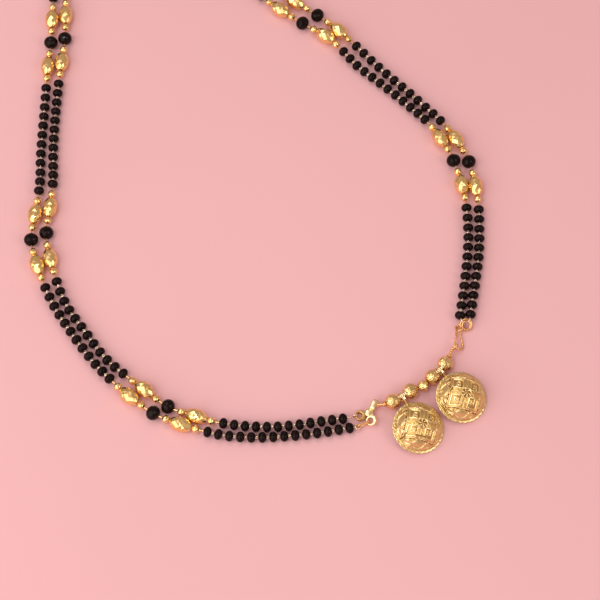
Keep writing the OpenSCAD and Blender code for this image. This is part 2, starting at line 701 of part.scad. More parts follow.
left_outer_black_beads();
left_inner_black_beads();
right_outer_black_beads();
right_inner_black_beads();
left_outer_crystals();
left_inner_crystals();
right_outer_crystals();
right_inner_crystals();
left_outer_gold_balls();
left_inner_gold_balls();
right_outer_gold_balls();
right_inner_gold_balls();
left_outer_gold_ovals();
left_inner_gold_ovals();
right_outer_gold_ovals();
right_inner_gold_ovals();
left_outer_threads();
left_inner_threads();
right_outer_threads();
right_inner_threads();
centre_pin();
centre_ball_1();
centre_ball_2();
centre_ball_3();
centre_ball_4();
centre_ball_5();
left_pin_cap();
right_pin_cap();
left_vati();
right_vati();
left_connector();
left_link();
right_ring();
right_small_ring();
right_oval_link();
left_back_ring();
right_back_ring();
clasp_hook();
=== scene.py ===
"""Looks of the mangalsutra: detailed beads, bowls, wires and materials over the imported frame."""

import random
from math import acos, asin, atan2, copysign, cos, degrees, pi, radians, sin, sqrt

import bpy
import numpy as np
from mathutils import Matrix, Vector


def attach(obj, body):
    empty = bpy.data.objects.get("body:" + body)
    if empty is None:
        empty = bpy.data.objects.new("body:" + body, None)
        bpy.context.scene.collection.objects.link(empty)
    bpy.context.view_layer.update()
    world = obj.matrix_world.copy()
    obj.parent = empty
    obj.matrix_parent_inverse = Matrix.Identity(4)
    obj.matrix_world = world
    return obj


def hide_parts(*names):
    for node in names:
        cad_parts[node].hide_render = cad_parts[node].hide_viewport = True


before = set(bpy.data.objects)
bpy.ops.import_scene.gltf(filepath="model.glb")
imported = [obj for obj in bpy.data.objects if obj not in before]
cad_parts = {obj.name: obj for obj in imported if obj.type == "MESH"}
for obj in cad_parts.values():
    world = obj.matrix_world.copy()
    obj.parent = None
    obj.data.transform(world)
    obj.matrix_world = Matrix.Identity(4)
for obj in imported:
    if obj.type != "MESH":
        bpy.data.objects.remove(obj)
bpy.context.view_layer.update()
scene = bpy.context.scene

MM = 0.001
UP = np.array([0.0, 0.0, 1.0])
# Where the frame's origin lies on the drawing of the part's source
MIDDLE = np.array([-12.175, 58.256, 0.0])

# Sizes repeated from the part's source, in millimetres
SEED_D, SEED_LEN, SEED_PITCH = 2.7, 2.0, 2.95
CRYSTAL_D, BALL_D, OVAL_D, OVAL_LEN = 3.7, 1.8, 3.5, 5.5
CRYSTAL_TO_BALL, BALL_TO_OVAL, BALL_TO_SEED = 3.8, 4.1, 3.2
WIRE_D, EYE_D, RING_WIRE_D = 0.44, 1.3, 0.38
CENTRE_BALL_D, MIDDLE_BALL_D, PIN_BORE_D = 4.0, 2.9, 0.9
VATI_D, VATI_H, VATI_WALL = 13.8, 5.2, 0.5
RIM_W, RIM_H, SCALLOPS, RELIEF = 0.45, 0.6, 30, 0.15
BAIL_BORE, BAIL_WALL, BAIL_W, NECK_D = 2.0, 0.4, 0.8, 0.8
LOOP_D, STRIP, STRIP_W, SOLDER_D = 2.9, 0.3, 1.2, 2.4
UPRIGHT_LEN, UPRIGHT_H, BAR_Z, BAR_W = 3, 1.8, 0.6, 0.5
RING_D, SMALL_RING_D, BACK_RING_D = 3.0, 1.96, 3.6
OVAL_LINK_HALF = 2.04
LEFT_LINK_NEAR_R, LEFT_LINK_FAR_R = 0.56, 0.62
HOOK_D, HOOK_BEND_D = 0.8, 1.8
BACK_Z = (HOOK_BEND_D + HOOK_D) / 2 + 0.05

# Places repeated from the part's source, on its drawing; headings and leans are in degrees.
# A route's point has its x and y, and 1 where a crystal sits.
ROUTES = {
    "left_outer": [
        [12.8, -37.4], [4.5, -38.8], [-4, -39.7], [-13, -40], [-22, -39.1], [-30.5, -36.7],
        [-38, -33.4, 1], [-46, -27.3], [-53.5, -19.5], [-60, -10.8], [-66, -1.3], [-70.2, 8.5],
        [-72.6, 17.2, 1], [-72, 25.3], [-71.3, 34], [-71.6, 44], [-71.5, 54.5], [-71.3, 65], [-71.2, 73],
        [-70.8, 80.5, 1], [-70.9, 88.5], [-71, 97], [-71, 106], [-70.6, 115], [-69.4, 123], [-68, 128.8],
    ],
    "left_inner": [
        [11.1, -34.8], [5.2, -35.6], [-3, -36.8], [-10, -37.1], [-20.5, -36.2], [-27.3, -34.2],
        [-34.2, -31.6, 1], [-41, -26.4], [-50.2, -18.6], [-57.05, -9.6], [-62.85, -0.8], [-67, 11],
        [-68.6, 19.3, 1], [-68.1, 27], [-67.7, 35], [-68.2, 44], [-68.3, 54], [-68, 64], [-67.4, 74],
        [-66.9, 81.9, 1], [-67.1, 90], [-67.5, 98], [-67.8, 107], [-67.5, 115], [-66.3, 122.8],
        [-64.8, 128.6],
    ],
    "right_outer": [
        [45.25, -4.9], [46.6, 3], [48, 11.8], [48.6, 20.6], [48.4, 31], [46.5, 41.5, 1], [42.8, 49.3],
        [38.2, 55.8], [31.3, 63.4], [24.5, 70.2], [17.6, 77.6], [11.2, 84.4], [5, 89.8, 1], [-1, 94.1],
        [-9.5, 100.5], [-16.5, 109], [-20.5, 120], [-22, 132.5], [-24.3, 142.5, 1], [-28.5, 151],
        [-36, 157.8], [-45, 159.5], [-53, 155.8], [-57.8, 148.2],
    ],
    "right_inner": [
        [42.45, -5.2], [43.8, 2.8], [45, 11.8], [45.6, 20.9], [44.9, 30.5], [42.3, 41.9, 1], [39, 48.7],
        [35.3, 54.4], [29, 61.2], [22.6, 67.2], [16, 73.2], [8.7, 81.5], [0.7, 87.1, 1], [-5.8, 91.8],
        [-12.5, 98], [-19.7, 108], [-23.5, 120], [-25.2, 131.5], [-27.2, 139.6, 1], [-31.4, 148.6],
        [-37.8, 154.9], [-45.3, 156.4], [-51.3, 153], [-54.8, 146.1],
    ],
}
BALL_SPOTS = [[24.1, -30.3], [28.7, -27.4], [31.95, -25.85], [34.6, -23.4], [38, -19.6]]
PIN_HEADINGS = [196, 62]
VATI_SPOTS = [[30.4, -37.5], [41.8, -29]]
LEAN_HEADING, VATI_LEAN = -35, 14
LOOP_SPOTS = [[15.6, -33.7, 0.7], [18.6, -35.2, 1.3]]
LOOP_LEANS, HOLD_HEADINGS = [0, 30], [190, 205]
SOLDER_SPOT = [17.9, -33]
UPRIGHT_SPOT, UPRIGHT_HEADING = [19.2, -31], -24
LEFT_EYE_SPOT = [14.9, -36.9, 1.05]
RIGHT_EYE, RIGHT_EYE_HEADING = [40.43, -15, 1.65], 47
RING_SPOT, RING_NORMAL, RING_HOLDS = [43.92, -7.95, 1.3], [0, -0.6, 0.8], [60, 130]
SMALL_RING_SPOT, SMALL_RING_NORMAL = [42.2, -8.6, 0.94], [-0.29, 0.27, 0.9]
OVAL_LINK_SPOT, OVAL_LINK_NORMAL = [41.81, -11.8, 1.15], [0.5, 0, 0.85]
BACK_RING_SPOTS = [[-65.3, 132.9], [-58.6, 142.6]]
BACK_HOLDS = [[172, -138], [25, -15]]

# How much larger the beads are drawn than the solids, which keep clear of each other
SEED_GROWTH, SEED_LEN_GROWTH = 1.085, 1.06
CRYSTAL_GROWTH, BALL_GROWTH, CENTRE_BALL_GROWTH = 1.08, 1.2, 1.06
OVAL_D_GROWTH, OVAL_LEN_GROWTH = 1.15, 1.05

# Random spreads, in radians and as shares of a size
SEED_TILT, EYE_LEAN, ROLL = 0.05, 0.5, 6
SEED_SPREAD, SEED_LEN_SPREAD = 0.03, 0.04

# Other sizes of the drawn pieces, in millimetres
SEED_HOLE_D, SEED_LIP = 0.7, 0.1
CRYSTAL_TABLE_D, BALL_END_D, OVAL_END_D = 0.9, 0.4, 1.7
CRYSTAL_SHARE = 0.9  # how long a crystal is, as a share of a ball of its width
LINK_EYE_D, LINK_EYE_WIRE_D, LINK_EYE_SHIFT = 0.58, 0.28, 0.13
LINK_STEM_D, LINK_STEM_END = 0.24, 0.3
PIN_EYE_R, PIN_EYE_Z, RIGHT_EYE_HALF = 0.55, 0.8, 0.95
PIN_LEAD, LEFT_BEND_LEAD = 0.8, 0.15
PIN_WIRE_D, WRAP_WIRE_D, COIL_WIRE_D, RIGHT_WIRE_D, LEFT_WIRE_D = 0.54, 0.38, 0.3, 0.54, 0.5
FIRST_RING_WIRE_D, SECOND_RING_WIRE_D, SECOND_RING_D = 0.56, 0.46, 2.2
SECOND_RING_SHIFT, SECOND_RING_TILT = (0.3, 0.05, -0.1), 0.15
OVAL_LINK_NEAR_R, OVAL_LINK_FAR_R = 0.54, 1.33

SECTION_SIDES = 24
FACET_ROWS = 9
CURVE_STEPS = 6
RING_STEPS = 48


# Small maths
def unit(v):
    v = np.asarray(v, float)
    return v / np.linalg.norm(v)


def heading(a):
    return np.array([cos(radians(a)), sin(radians(a)), 0.0])


def lifted(spot, z):
    return np.array([spot[0], spot[1], z], float)


def smooth(t):
    t = np.clip(t, 0, 1)
    return t * t * (3 - 2 * t)


def angles(n):
    """The angles, in radians, of n even steps round a circle."""
    return 2 * pi * np.arange(n) / n


def basis(direction):
    """Columns: two directions square to a direction, and the direction."""
    w = unit(direction)
    near = np.array([1.0, 0, 0]) if abs(w @ UP) > 0.95 else UP
    u = unit(np.cross(near, w))
    return np.stack([u, np.cross(w, u), w], axis=1)


def arc(spot, ahead, up, r, start, end, n):
    """Points on an arc between two angles, in degrees from ahead towards up."""
    turns = np.radians(np.linspace(start, end, n))
    return [spot + (ahead * cos(t) + up * sin(t)) * r for t in turns]


# Meshes
class Shape:
    """Collects vertices and faces, with one material number per face."""

    def __init__(self):
        self.points, self.faces, self.kinds, self.count = [], [], [], 0

    def add(self, points, faces, kinds=0):
        """Adds a mesh. Its kinds are one material number, or a list with one for each face."""
        self.points.append(np.asarray(points, float))
        self.faces += [[k + self.count for k in f] for f in faces]
        self.kinds += kinds if isinstance(kinds, list) else [kinds] * len(faces)
        self.count += len(points)

    def make(self, name, materials, node, slot, flat=False):
        """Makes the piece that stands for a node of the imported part."""
        mesh = bpy.data.meshes.new(name)
        points = (np.concatenate(self.points) - MIDDLE) * MM
        mesh.from_pydata(points.tolist(), [], self.faces)
        mesh.polygons.foreach_set("material_index", self.kinds)
        mesh.polygons.foreach_set("use_smooth", [not flat] * len(self.faces))
        for m in materials:
            mesh.materials.append(m)
        mesh.update()
        piece = bpy.data.objects.new(name, mesh)
        scene.collection.objects.link(piece)
        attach(piece, "root")
        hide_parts(node)


def make_piece(name, parts, materials, node, slot):
    """Makes one piece of several meshes, each given as points, faces and, if need be, kinds."""
    shape = Shape()
    for part in parts:
        shape.add(*part)
    shape.make(name, materials, node, slot)


def grid_faces(rows, cols, wrap_rows=False):
    """Faces between the neighbouring rows of a grid, each of which is a closed ring."""
    out = []
    for j in range(rows if wrap_rows else rows - 1):
        b = (j + 1) % rows
        for k in range(cols):
            m = (k + 1) % cols
            out.append([j * cols + k, j * cols + m, b * cols + m, b * cols + k])
    return out


def capped_faces(rows, cols):
    """The faces of a grid of closed rings, with a face over the first and the last ring."""
    last = (rows - 1) * cols
    return grid_faces(rows, cols) + [list(range(cols))[::-1], [last + k for k in range(cols)]]


def facet_faces(rows, cols):
    """Triangles between rings whose points are shifted by half a step on every second ring."""
    out = []
    for j in range(rows - 1):
        for k in range(cols):
            a, b, m = j * cols, (j + 1) * cols, (k + 1) % cols
            if j % 2 == 0:
                out += [[a + k, a + m, b + k], [a + m, b + m, b + k]]
            else:
                out += [[a + k, b + m, b + k], [a + k, a + m, b + m]]
    return out


def spun_points(profile, sides, twist=0.0):
    """A profile of (radius, height) turned about Z, every second ring shifted by a share of a step."""
    rings = []
    for j, (r, z) in enumerate(profile):
        a = 2 * pi * (np.arange(sides) + twist * (j % 2)) / sides
        rings.append(np.stack([r * np.cos(a), r * np.sin(a), np.full(sides, z)], axis=1))
    return np.concatenate(rings)


def tube(path, d, sides=10, closed=False):
    """A round wire along a path, with smooth frames."""
    path = np.asarray(path, float)
    n = len(path)
    after = np.roll(path, -1, 0) if closed else np.concatenate([path[1:], path[-1:]])
    before = np.roll(path, 1, 0) if closed else np.concatenate([path[:1], path[:-1]])
    t = after - before
    t /= np.linalg.norm(t, axis=1)[:, None]
    u = basis(t[0])[:, 0]
    a = angles(sides)
    rings = []
    for i in range(n):
        u = unit(u - t[i] * (u @ t[i]))
        w = np.cross(t[i], u)
        rings.append(path[i] + (np.outer(np.cos(a), u) + np.outer(np.sin(a), w)) * d / 2)
    faces = grid_faces(n, sides, wrap_rows=True) if closed else capped_faces(n, sides)
    return np.concatenate(rings), faces


def ring(spot, normal, middle_d, wire_d, n=RING_STEPS, sides=10):
    """A closed ring of round wire, with n points round its middle line."""
    m = basis(normal)
    a = angles(n)
    path = np.asarray(spot) + (np.outer(np.cos(a), m[:, 0]) + np.outer(np.sin(a), m[:, 1])) * middle_d / 2
    return tube(path, wire_d, sides, closed=True)


def coil(start, run, turns, r_from, r_to, n):
    """The path of a wire that is wound round a straight run."""
    m = basis(run)
    t = np.linspace(0, 1, n)
    a = 2 * pi * turns * t
    r = r_from + (r_to - r_from) * t
    return start + np.outer(t, run) + np.outer(r * np.cos(a), m[:, 0]) + np.outer(r * np.sin(a), m[:, 1])


def rounded(path):
    """Cuts the corners of an open path twice."""
    for _ in range(2):
        out = [path[0]]
        for a, b in zip(path, path[1:]):
            out += [a * 0.75 + b * 0.25, a * 0.25 + b * 0.75]
        path = out + [path[-1]]
    return path


def flat_ends(sides=SECTION_SIDES):
    """A full round outline with flattened sides, within 1 of the middle each way."""
    return [[copysign(abs(c) ** 0.5, c) for c in (cos(b), sin(b))] for b in angles(sides)]


# The strands
def curve(route):
    """A smooth curve through the points of a route."""
    p = np.array([q[:2] for q in route], float)
    out = []
    for i in range(len(p) - 1):
        a, b, c, d = p[max(i - 1, 0)], p[i], p[i + 1], p[min(i + 2, len(p) - 1)]
        for k in range(CURVE_STEPS):
            t = k / CURVE_STEPS
            out.append((2 * b + (c - a) * t + (2 * a - 5 * b + 4 * c - d) * t * t
                        + (3 * b - a - 3 * c + d) * t ** 3) / 2)
    out.append(p[-1])
    return np.array(out)


class Strand:
    """The run of one half strand, as the part's source lays it out."""

    REACH = CRYSTAL_TO_BALL + 2 * BALL_TO_OVAL + BALL_TO_SEED
    RISE = 2 * SEED_PITCH

    def __init__(self, route):
        self.p = curve(route)
        self.s = np.concatenate([[0], np.cumsum(np.linalg.norm(np.diff(self.p, axis=0), axis=1))])
        self.crystals = [self.s[i * CURVE_STEPS] for i, q in enumerate(route) if len(q) > 2]
        self.length = self.s[-1]

    def point(self, s):
        """The middle line at a length along it, which rises where a group of larger beads lies."""
        near = min(abs(s - c) for c in self.crystals)
        z = SEED_D / 2 + (CRYSTAL_D / 2 - SEED_D / 2) * smooth((self.REACH + self.RISE - near) / self.RISE)
        return np.array([np.interp(s, self.s, self.p[:, 0]), np.interp(s, self.s, self.p[:, 1]), float(z)])

    def along(self, s):
        return unit(self.point(min(s + 0.5, self.length)) - self.point(max(s - 0.5, 0)))

    def balls(self):
        offsets = (CRYSTAL_TO_BALL, CRYSTAL_TO_BALL + 2 * BALL_TO_OVAL)
        return [c + side * d for c in self.crystals for side in (-1, 1) for d in offsets]

    def ovals(self):
        return [c + side * (CRYSTAL_TO_BALL + BALL_TO_OVAL) for c in self.crystals for side in (-1, 1)]

    def seeds(self):
        """The bead stations of each run of small black beads."""
        starts = [0] + [c + self.REACH for c in self.crystals]
        ends = [c - self.REACH for c in self.crystals] + [self.length]
        runs = []
        for a, b in zip(starts, ends):
            n = round((b - a) / SEED_PITCH)
            runs.append([a + (b - a) * i / n for i in range(n + 1)])
        return runs


# Materials
def nodes_of(name):
    """A new material, its node tree and its shader."""
    m = bpy.data.materials.new(name)
    m.use_nodes = True
    tree = m.node_tree
    return m, tree, tree.nodes["Principled BSDF"]


def set_inputs(shader_node, values):
    for name, value in values.items():
        shader_node.inputs[name].default_value = value


def noise(tree, scale, detail=3.0, kind="ShaderNodeTexNoise"):
    spot = tree.nodes.new("ShaderNodeTexCoord")
    n = tree.nodes.new(kind)
    set_inputs(n, {"Scale": scale})
    if kind == "ShaderNodeTexNoise":
        set_inputs(n, {"Detail": detail})
    tree.links.new(spot.outputs["Object"], n.inputs["Vector"])
    return n


def vary_tone(tree, shader, scale, stops):
    """Sets the base colour from a noise and two stops, each a place and a colour."""
    tone = noise(tree, scale)
    r = tree.nodes.new("ShaderNodeValToRGB")
    for element, (at, color) in zip(r.color_ramp.elements, stops):
        element.position, element.color = at, (*color, 1)
    tree.links.new(tone.outputs["Fac"], r.inputs["Fac"])
    tree.links.new(r.outputs["Color"], shader.inputs["Base Color"])


def vary_roughness(tree, shader, scale, limits):
    spread = noise(tree, scale)
    r = tree.nodes.new("ShaderNodeMapRange")
    set_inputs(r, {"To Min": limits[0], "To Max": limits[1]})
    tree.links.new(spread.outputs["Fac"], r.inputs["Value"])
    tree.links.new(r.outputs["Result"], shader.inputs["Roughness"])


def bump(tree, shader, sources, strength, distance):
    """Adds one bump node after another, each from a source and its share of the strength."""
    previous = None
    for source, share in sources:
        b = tree.nodes.new("ShaderNodeBump")
        set_inputs(b, {"Strength": strength * share, "Distance": distance})
        tree.links.new(source, b.inputs["Height"])
        if previous:
            tree.links.new(previous.outputs["Normal"], b.inputs["Normal"])
        previous = b
    tree.links.new(previous.outputs["Normal"], shader.inputs["Normal"])


def gold(name, light, dark, rough, grain, strength):
    """A gold between two tones, with a range of roughness and a grain of some scale and strength."""
    m, tree, shader = nodes_of(name)
    set_inputs(shader, {"Metallic": 1.0})
    vary_tone(tree, shader, grain * 0.35, [(0.3, dark), (0.7, light)])
    vary_roughness(tree, shader, grain, rough)
    fine = noise(tree, grain * 2.2, 2.0)
    cells = noise(tree, grain, kind="ShaderNodeTexVoronoi")
    bump(tree, shader, [(fine.outputs["Fac"], 1.0), (cells.outputs["Distance"], 0.6)], strength, 0.00004)
    return m


def black(name, rough, strength, level):
    """An opaque black glass with a range of roughness, a fine bump and a level of reflection."""
    m, tree, shader = nodes_of(name)
    vary_tone(tree, shader, 600, [(0.3, (0.005, 0.002, 0.0018)), (0.75, (0.014, 0.006, 0.005))])
    vary_roughness(tree, shader, 900, rough)
    set_inputs(shader, {"IOR": 1.5, "Specular IOR Level": level})
    fine = noise(tree, 1500, 2.0)
    bump(tree, shader, [(fine.outputs["Fac"], 1.0)], strength, 0.00003)
    return m


bead_gold = gold("cut_gold", (0.98, 0.72, 0.32), (0.93, 0.62, 0.23), (0.16, 0.3), 900, 0.2)
etched_gold = gold("etched_gold", (0.98, 0.74, 0.35), (0.92, 0.63, 0.25), (0.1, 0.2), 1300, 0.15)
# A darker gold painted as shade into the balls' grooves and over the first connector loop.
groove_shade_gold = gold("groove_shade_gold", (0.8, 0.54, 0.22), (0.6, 0.38, 0.13), (0.3, 0.45), 1300, 0.3)
# A darker gold painted as shade into the deep part of each fret.
shaded_gold = gold("shaded_gold", (0.64, 0.44, 0.165), (0.46, 0.29, 0.09), (0.3, 0.45), 1300, 0.3)
# A paler, yellower satin gold on the border and rim, painted to stand in for a pale reflection there.
edge_reflection_gold = gold("edge_reflection_gold", (0.9, 0.7, 0.33), (0.76, 0.55, 0.22), (0.26, 0.42), 1500, 0.4)
bowl_gold = gold("bowl_gold", (0.87, 0.615, 0.225), (0.72, 0.455, 0.145), (0.28, 0.44), 1500, 0.5)
# A paler gold with lower roughness: painted highlight on raised lines, petals, the bail and the connector.
polished_highlight_gold = gold("polished_highlight_gold", (1.0, 0.84, 0.5), (1.0, 0.8, 0.43), (0.2, 0.32), 900, 0.15)
# A very dark gold painted as shade into the frame's groove, the slits, deep fret hollows near the middle
# and between the petals.
dark_shade_gold = gold("dark_shade_gold", (0.4, 0.23, 0.06), (0.18, 0.1, 0.02), (0.35, 0.55), 1300, 0.5)
wire_gold = gold("wire_gold", (0.96, 0.61, 0.28), (0.88, 0.5, 0.2), (0.2, 0.34), 800, 0.15)
pale_wire_gold = gold("pale_wire_gold", (1.0, 0.88, 0.7), (0.97, 0.76, 0.54), (0.2, 0.32), 800, 0.1)
seed_black = black("black_glass", (0.05, 0.1), 0.03, 0.11)
crystal_black = black("black_crystal", (0.06, 0.12), 0.02, 0.13)


# Camera, floor and light
CAMERA_ELEVATION, CAMERA_DISTANCE = 64, 0.52
PICTURE_SIZE, FOCAL_PIXELS, SENSOR_WIDTH = 600, 1947.6, 36
FLOOR_HALF, FLOOR_DROP = 6, 0.00002
FLOOR_TONES = [(0.3, (0.84, 0.487, 0.505)), (0.7, (0.86, 0.502, 0.52))]
WORLD_COLOR, WORLD_STRENGTH = (1.0, 0.79, 0.73, 1), 0.45
# Each lamp: its name, place and size in metres, power in watts and colour
LAMPS = [
    ("left_panel", (-0.42, -0.37, 0.4), 0.95, 3.7, (1.0, 0.96, 0.93)),
    ("right_panel", (0.66, -0.42, 0.62), 0.5, 1.6, (1.0, 0.95, 0.91)),
    ("front_lamp", (-0.22, -0.26, 0.78), 0.1, 0.5, (1.0, 0.96, 0.93)),
    ("top_lamp", (-0.16, 0.28, 0.75), 0.3, 0.8, (1.0, 0.95, 0.91)),
]


def add_to_scene(name, data, location, back):
    """Adds a camera or lamp, turned so that its subject lies opposite to the direction back."""
    thing = bpy.data.objects.new(name, data)
    thing.rotation_mode = "QUATERNION"
    thing.location = location
    thing.rotation_quaternion = (-back).to_track_quat("-Z", "Y")
    scene.collection.objects.link(thing)
    return thing


def make_camera():
    """The camera at the photograph's angle, aimed at the origin of the drawing."""
    elevation = radians(CAMERA_ELEVATION)
    back = Vector((0, -cos(elevation), sin(elevation)))
    data = bpy.data.cameras.new("camera")
    data.sensor_width, data.lens = SENSOR_WIDTH, FOCAL_PIXELS / PICTURE_SIZE * SENSOR_WIDTH
    data.clip_start, data.clip_end = 0.01, 20
    target = Vector((-MIDDLE * MM).tolist())
    scene.camera = add_to_scene("camera", data, target + back * CAMERA_DISTANCE, back)


def make_floor():
    m, tree, shader = nodes_of("pale_floor")
    vary_tone(tree, shader, 9, FLOOR_TONES)
    set_inputs(shader, {"Roughness": 0.75, "Specular IOR Level": 0.25})
    fine = noise(tree, 2500, 2.0)
    bump(tree, shader, [(fine.outputs["Fac"], 1.0)], 0.05, 0.00005)
    mesh = bpy.data.meshes.new("floor")
    corners = [(x * FLOOR_HALF, y * FLOOR_HALF, 0) for x, y in ((-1, -1), (1, -1), (1, 1), (-1, 1))]
    mesh.from_pydata(corners, [], [[0, 1, 2, 3]])
    mesh.materials.append(m)
    floor = bpy.data.objects.new("floor", mesh)
    floor.location.z = -FLOOR_DROP
    scene.collection.objects.link(floor)


def make_light():
    for name, place, size, power, color in LAMPS:
        data = bpy.data.lights.new(name, "AREA")
        data.shape, data.size, data.energy, data.color = "DISK", size, power, color
        add_to_scene(name, data, place, Vector(place))
    world = bpy.data.worlds.new("studio")
    world.use_nodes = True
    background = world.node_tree.nodes["Background"]
    set_inputs(background, {"Color": WORLD_COLOR, "Strength": WORLD_STRENGTH})
    scene.world = world


# Beads of the strands
def seed_profile():
    """The outline of a small bead, from inside its hole round the outside and back into the hole."""
    r, hole_r = SEED_LEN / 2, SEED_HOLE_D / 2
    lower = [(hole_r, -r * 0.6), (hole_r, -r * 0.86), (hole_r + SEED_LIP, -r)]
    turns = np.radians(np.linspace(-90, 90, 9))
    side = [(SEED_D / 2 - r + r * cos(a), r * sin(a)) for a in turns]
    upper = [(radius, -z) for radius, z in reversed(lower)]
    return lower + side + upper


def cut_round(d, sides, table_d):
    """A faceted ball with a small flat at each end."""
    start = asin(table_d / d)
    slopes = [start + (pi - 2 * start) * j / (FACET_ROWS - 1) for j in range(FACET_ROWS)]
    points = spun_points([(d / 2 * sin(a), -d / 2 * cos(a)) for a in slopes], sides, 0.5)
    return points, facet_faces(FACET_ROWS, sides)


def cut_oval(rng):
    """An oval bead with irregular diamond-cut facets and an open hole at each end."""
    sides, hole_share = 10, 0.45
    half, belly_r, end_r = OVAL_LEN / 2 * OVAL_LEN_GROWTH, OVAL_D / 2 * OVAL_D_GROWTH, OVAL_END_D / 2
    profile = []
    for j in range(FACET_ROWS):
        z = -half + 2 * half * j / (FACET_ROWS - 1)
        profile.append((belly_r - (belly_r - end_r) * abs(z / half) ** 2.5, z))
    points = spun_points(profile, sides, 0.5)
    n = len(points)
    for i in range(sides, n - sides):
        points[i, :2] *= 1 - 0.045 * rng.random()
        points[i, 2] += rng.uniform(-0.12, 0.12)
    ends = np.concatenate([points[:sides], points[-sides:]])
    points = np.concatenate([points, ends * [hole_share, hole_share, 1.0]])
    faces = facet_faces(FACET_ROWS, sides)
    for k in range(sides):
        m = (k + 1) % sides
        last, hole = n - sides, n + sides
        faces += [[k, n + k, n + m, m], [last + k, last + m, hole + m, hole + k]]
    return points, faces


def add_bead(shape, mesh, spot, way, roll, kinds=0, scale=(1, 1)):
    """Adds a bead that is drawn round Z, with Z turned to a way, scaled across and along."""
    points, faces = mesh
    m = basis(way) @ np.array(Matrix.Rotation(roll, 3, "Z"))
    across, along = scale
    shape.add((points * [across, across, along]) @ m.T + spot, faces, kinds)


def add_end_eye(wire, bead, spot, held_line):
    """Adds the eye at a strand's end, round the line of the wire that it holds."""
    way = unit(spot - bead)
    wire.add(*tube([bead + way * 0.7, spot - way * EYE_D / 2], WIRE_D * 0.8, sides=8))
    wire.add(*ring(spot, held_line - way * (way @ held_line), EYE_D, WIRE_D * 0.9, 24, sides=8))


def add_link_eyes(wire, a, b, lean):
    """Adds the two eyes that hook into each other between two beads, each on its own stem."""
    way, middle, half_gap = unit(b - a), (a + b) / 2, np.linalg.norm(b - a) / 2
    m = basis(way)
    across = cos(lean) * m[:, 0] + sin(lean) * m[:, 1]
    for side, normal in ((-1, across), (1, np.cross(way, across))):
        spot = middle + way * side * LINK_EYE_SHIFT
        wire.add(*ring(spot, normal, LINK_EYE_D, LINK_EYE_WIRE_D, 14, sides=6))
        stem = [spot + way * side * LINK_EYE_D / 2, middle + way * side * (half_gap - LINK_STEM_END)]
        wire.add(*tube(stem, LINK_STEM_D, sides=6))


def make_seeds(name, line, rng):
    """The small black beads of a half strand, each slightly tilted, and the wire eyes between them."""
    beads, wire = Shape(), Shape()
    for s, (spot, held_line) in zip((0, line.length), HELD[name]):
        add_end_eye(wire, line.point(s), spot, held_line)
    profile = seed_profile()
    seed = spun_points(profile, SECTION_SIDES), grid_faces(len(profile), SECTION_SIDES)
    for run in line.seeds():
        for s in run:
            tilt = np.array([rng.uniform(-SEED_TILT, SEED_TILT) for _ in range(3)])
            across = SEED_GROWTH - SEED_SPREAD * rng.random()
            roll = rng.uniform(0, ROLL)
            along = SEED_LEN_GROWTH - SEED_LEN_SPREAD * rng.random()
            add_bead(beads, seed, line.point(s), unit(line.along(s) + tilt), roll, scale=(across, along))
        for a, b in zip(run, run[1:]):
            add_link_eyes(wire, line.point(a), line.point(b), rng.uniform(-EYE_LEAN, EYE_LEAN))
    beads.make(name + "_seeds", [seed_black], name + "_black_beads", "black_glass")
    wire.make(name + "_eyes", [pale_wire_gold], name + "_black_beads", "gold_wire")


def make_groups(name, line, rng):
    """The cut crystals, gold ovals and small gold balls of a half strand."""
    ovals, balls, crystals = Shape(), Shape(), Shape()
    crystal = cut_round(CRYSTAL_D * CRYSTAL_GROWTH, 14, CRYSTAL_TABLE_D)
    for s in line.crystals:
        roll = rng.uniform(0, ROLL)
        add_bead(crystals, crystal, line.point(s), line.along(s), roll, scale=(1, CRYSTAL_SHARE))
    for s in line.ovals():
        add_bead(ovals, cut_oval(rng), line.point(s), line.along(s), rng.uniform(0, ROLL))
    ball = cut_round(BALL_D * BALL_GROWTH, 12, BALL_END_D)
    for s in line.balls():
        add_bead(balls, ball, line.point(s), line.along(s), rng.uniform(0, ROLL))
    crystals.make(name + "_cut_crystals", [crystal_black], name + "_crystals", "black_crystal", flat=True)
    ovals.make(name + "_ovals", [bead_gold], name + "_gold_ovals", "gold", flat=True)
    balls.make(name + "_balls", [bead_gold], name + "_gold_balls", "gold", flat=True)


# What holds the strands
def loop_axes(i):
    """The ways down and up of a round loop of the connector, which leans."""
    t = radians(LOOP_LEANS[i])
    way = heading(HOLD_HEADINGS[i])
    return way * cos(t) - UP * sin(t), way * sin(t) + UP * cos(t)


def loop_hold(i):
    down, up = loop_axes(i)
    return np.array(LOOP_SPOTS[i]) + down * (LOOP_D - STRIP) / 2 + up * STRIP_W / 4


RING_ACROSS = unit(np.cross([0, 1, 0], RING_NORMAL))
RING_UP = np.cross(unit(RING_NORMAL), RING_ACROSS)


def ring_hold(i):
    """A place on the right ring and the line of its wire there."""
    a = radians(RING_HOLDS[i])
    at = np.array(RING_SPOT) + (RING_ACROSS * cos(a) + RING_UP * sin(a)) * RING_D / 2
    return at, RING_UP * cos(a) - RING_ACROSS * sin(a)


CLASP_WAY = unit(lifted(BACK_RING_SPOTS[1], 0) - lifted(BACK_RING_SPOTS[0], 0))
CLASP_HEADING = degrees(atan2(CLASP_WAY[1], CLASP_WAY[0]))


def back_hold(i, k):
    """A place on a ring of the clasp and the line of its wire there."""
    a = CLASP_HEADING + BACK_HOLDS[i][k]
    return lifted(BACK_RING_SPOTS[i], BACK_Z) + heading(a) * BACK_RING_D / 2, heading(a + 90)


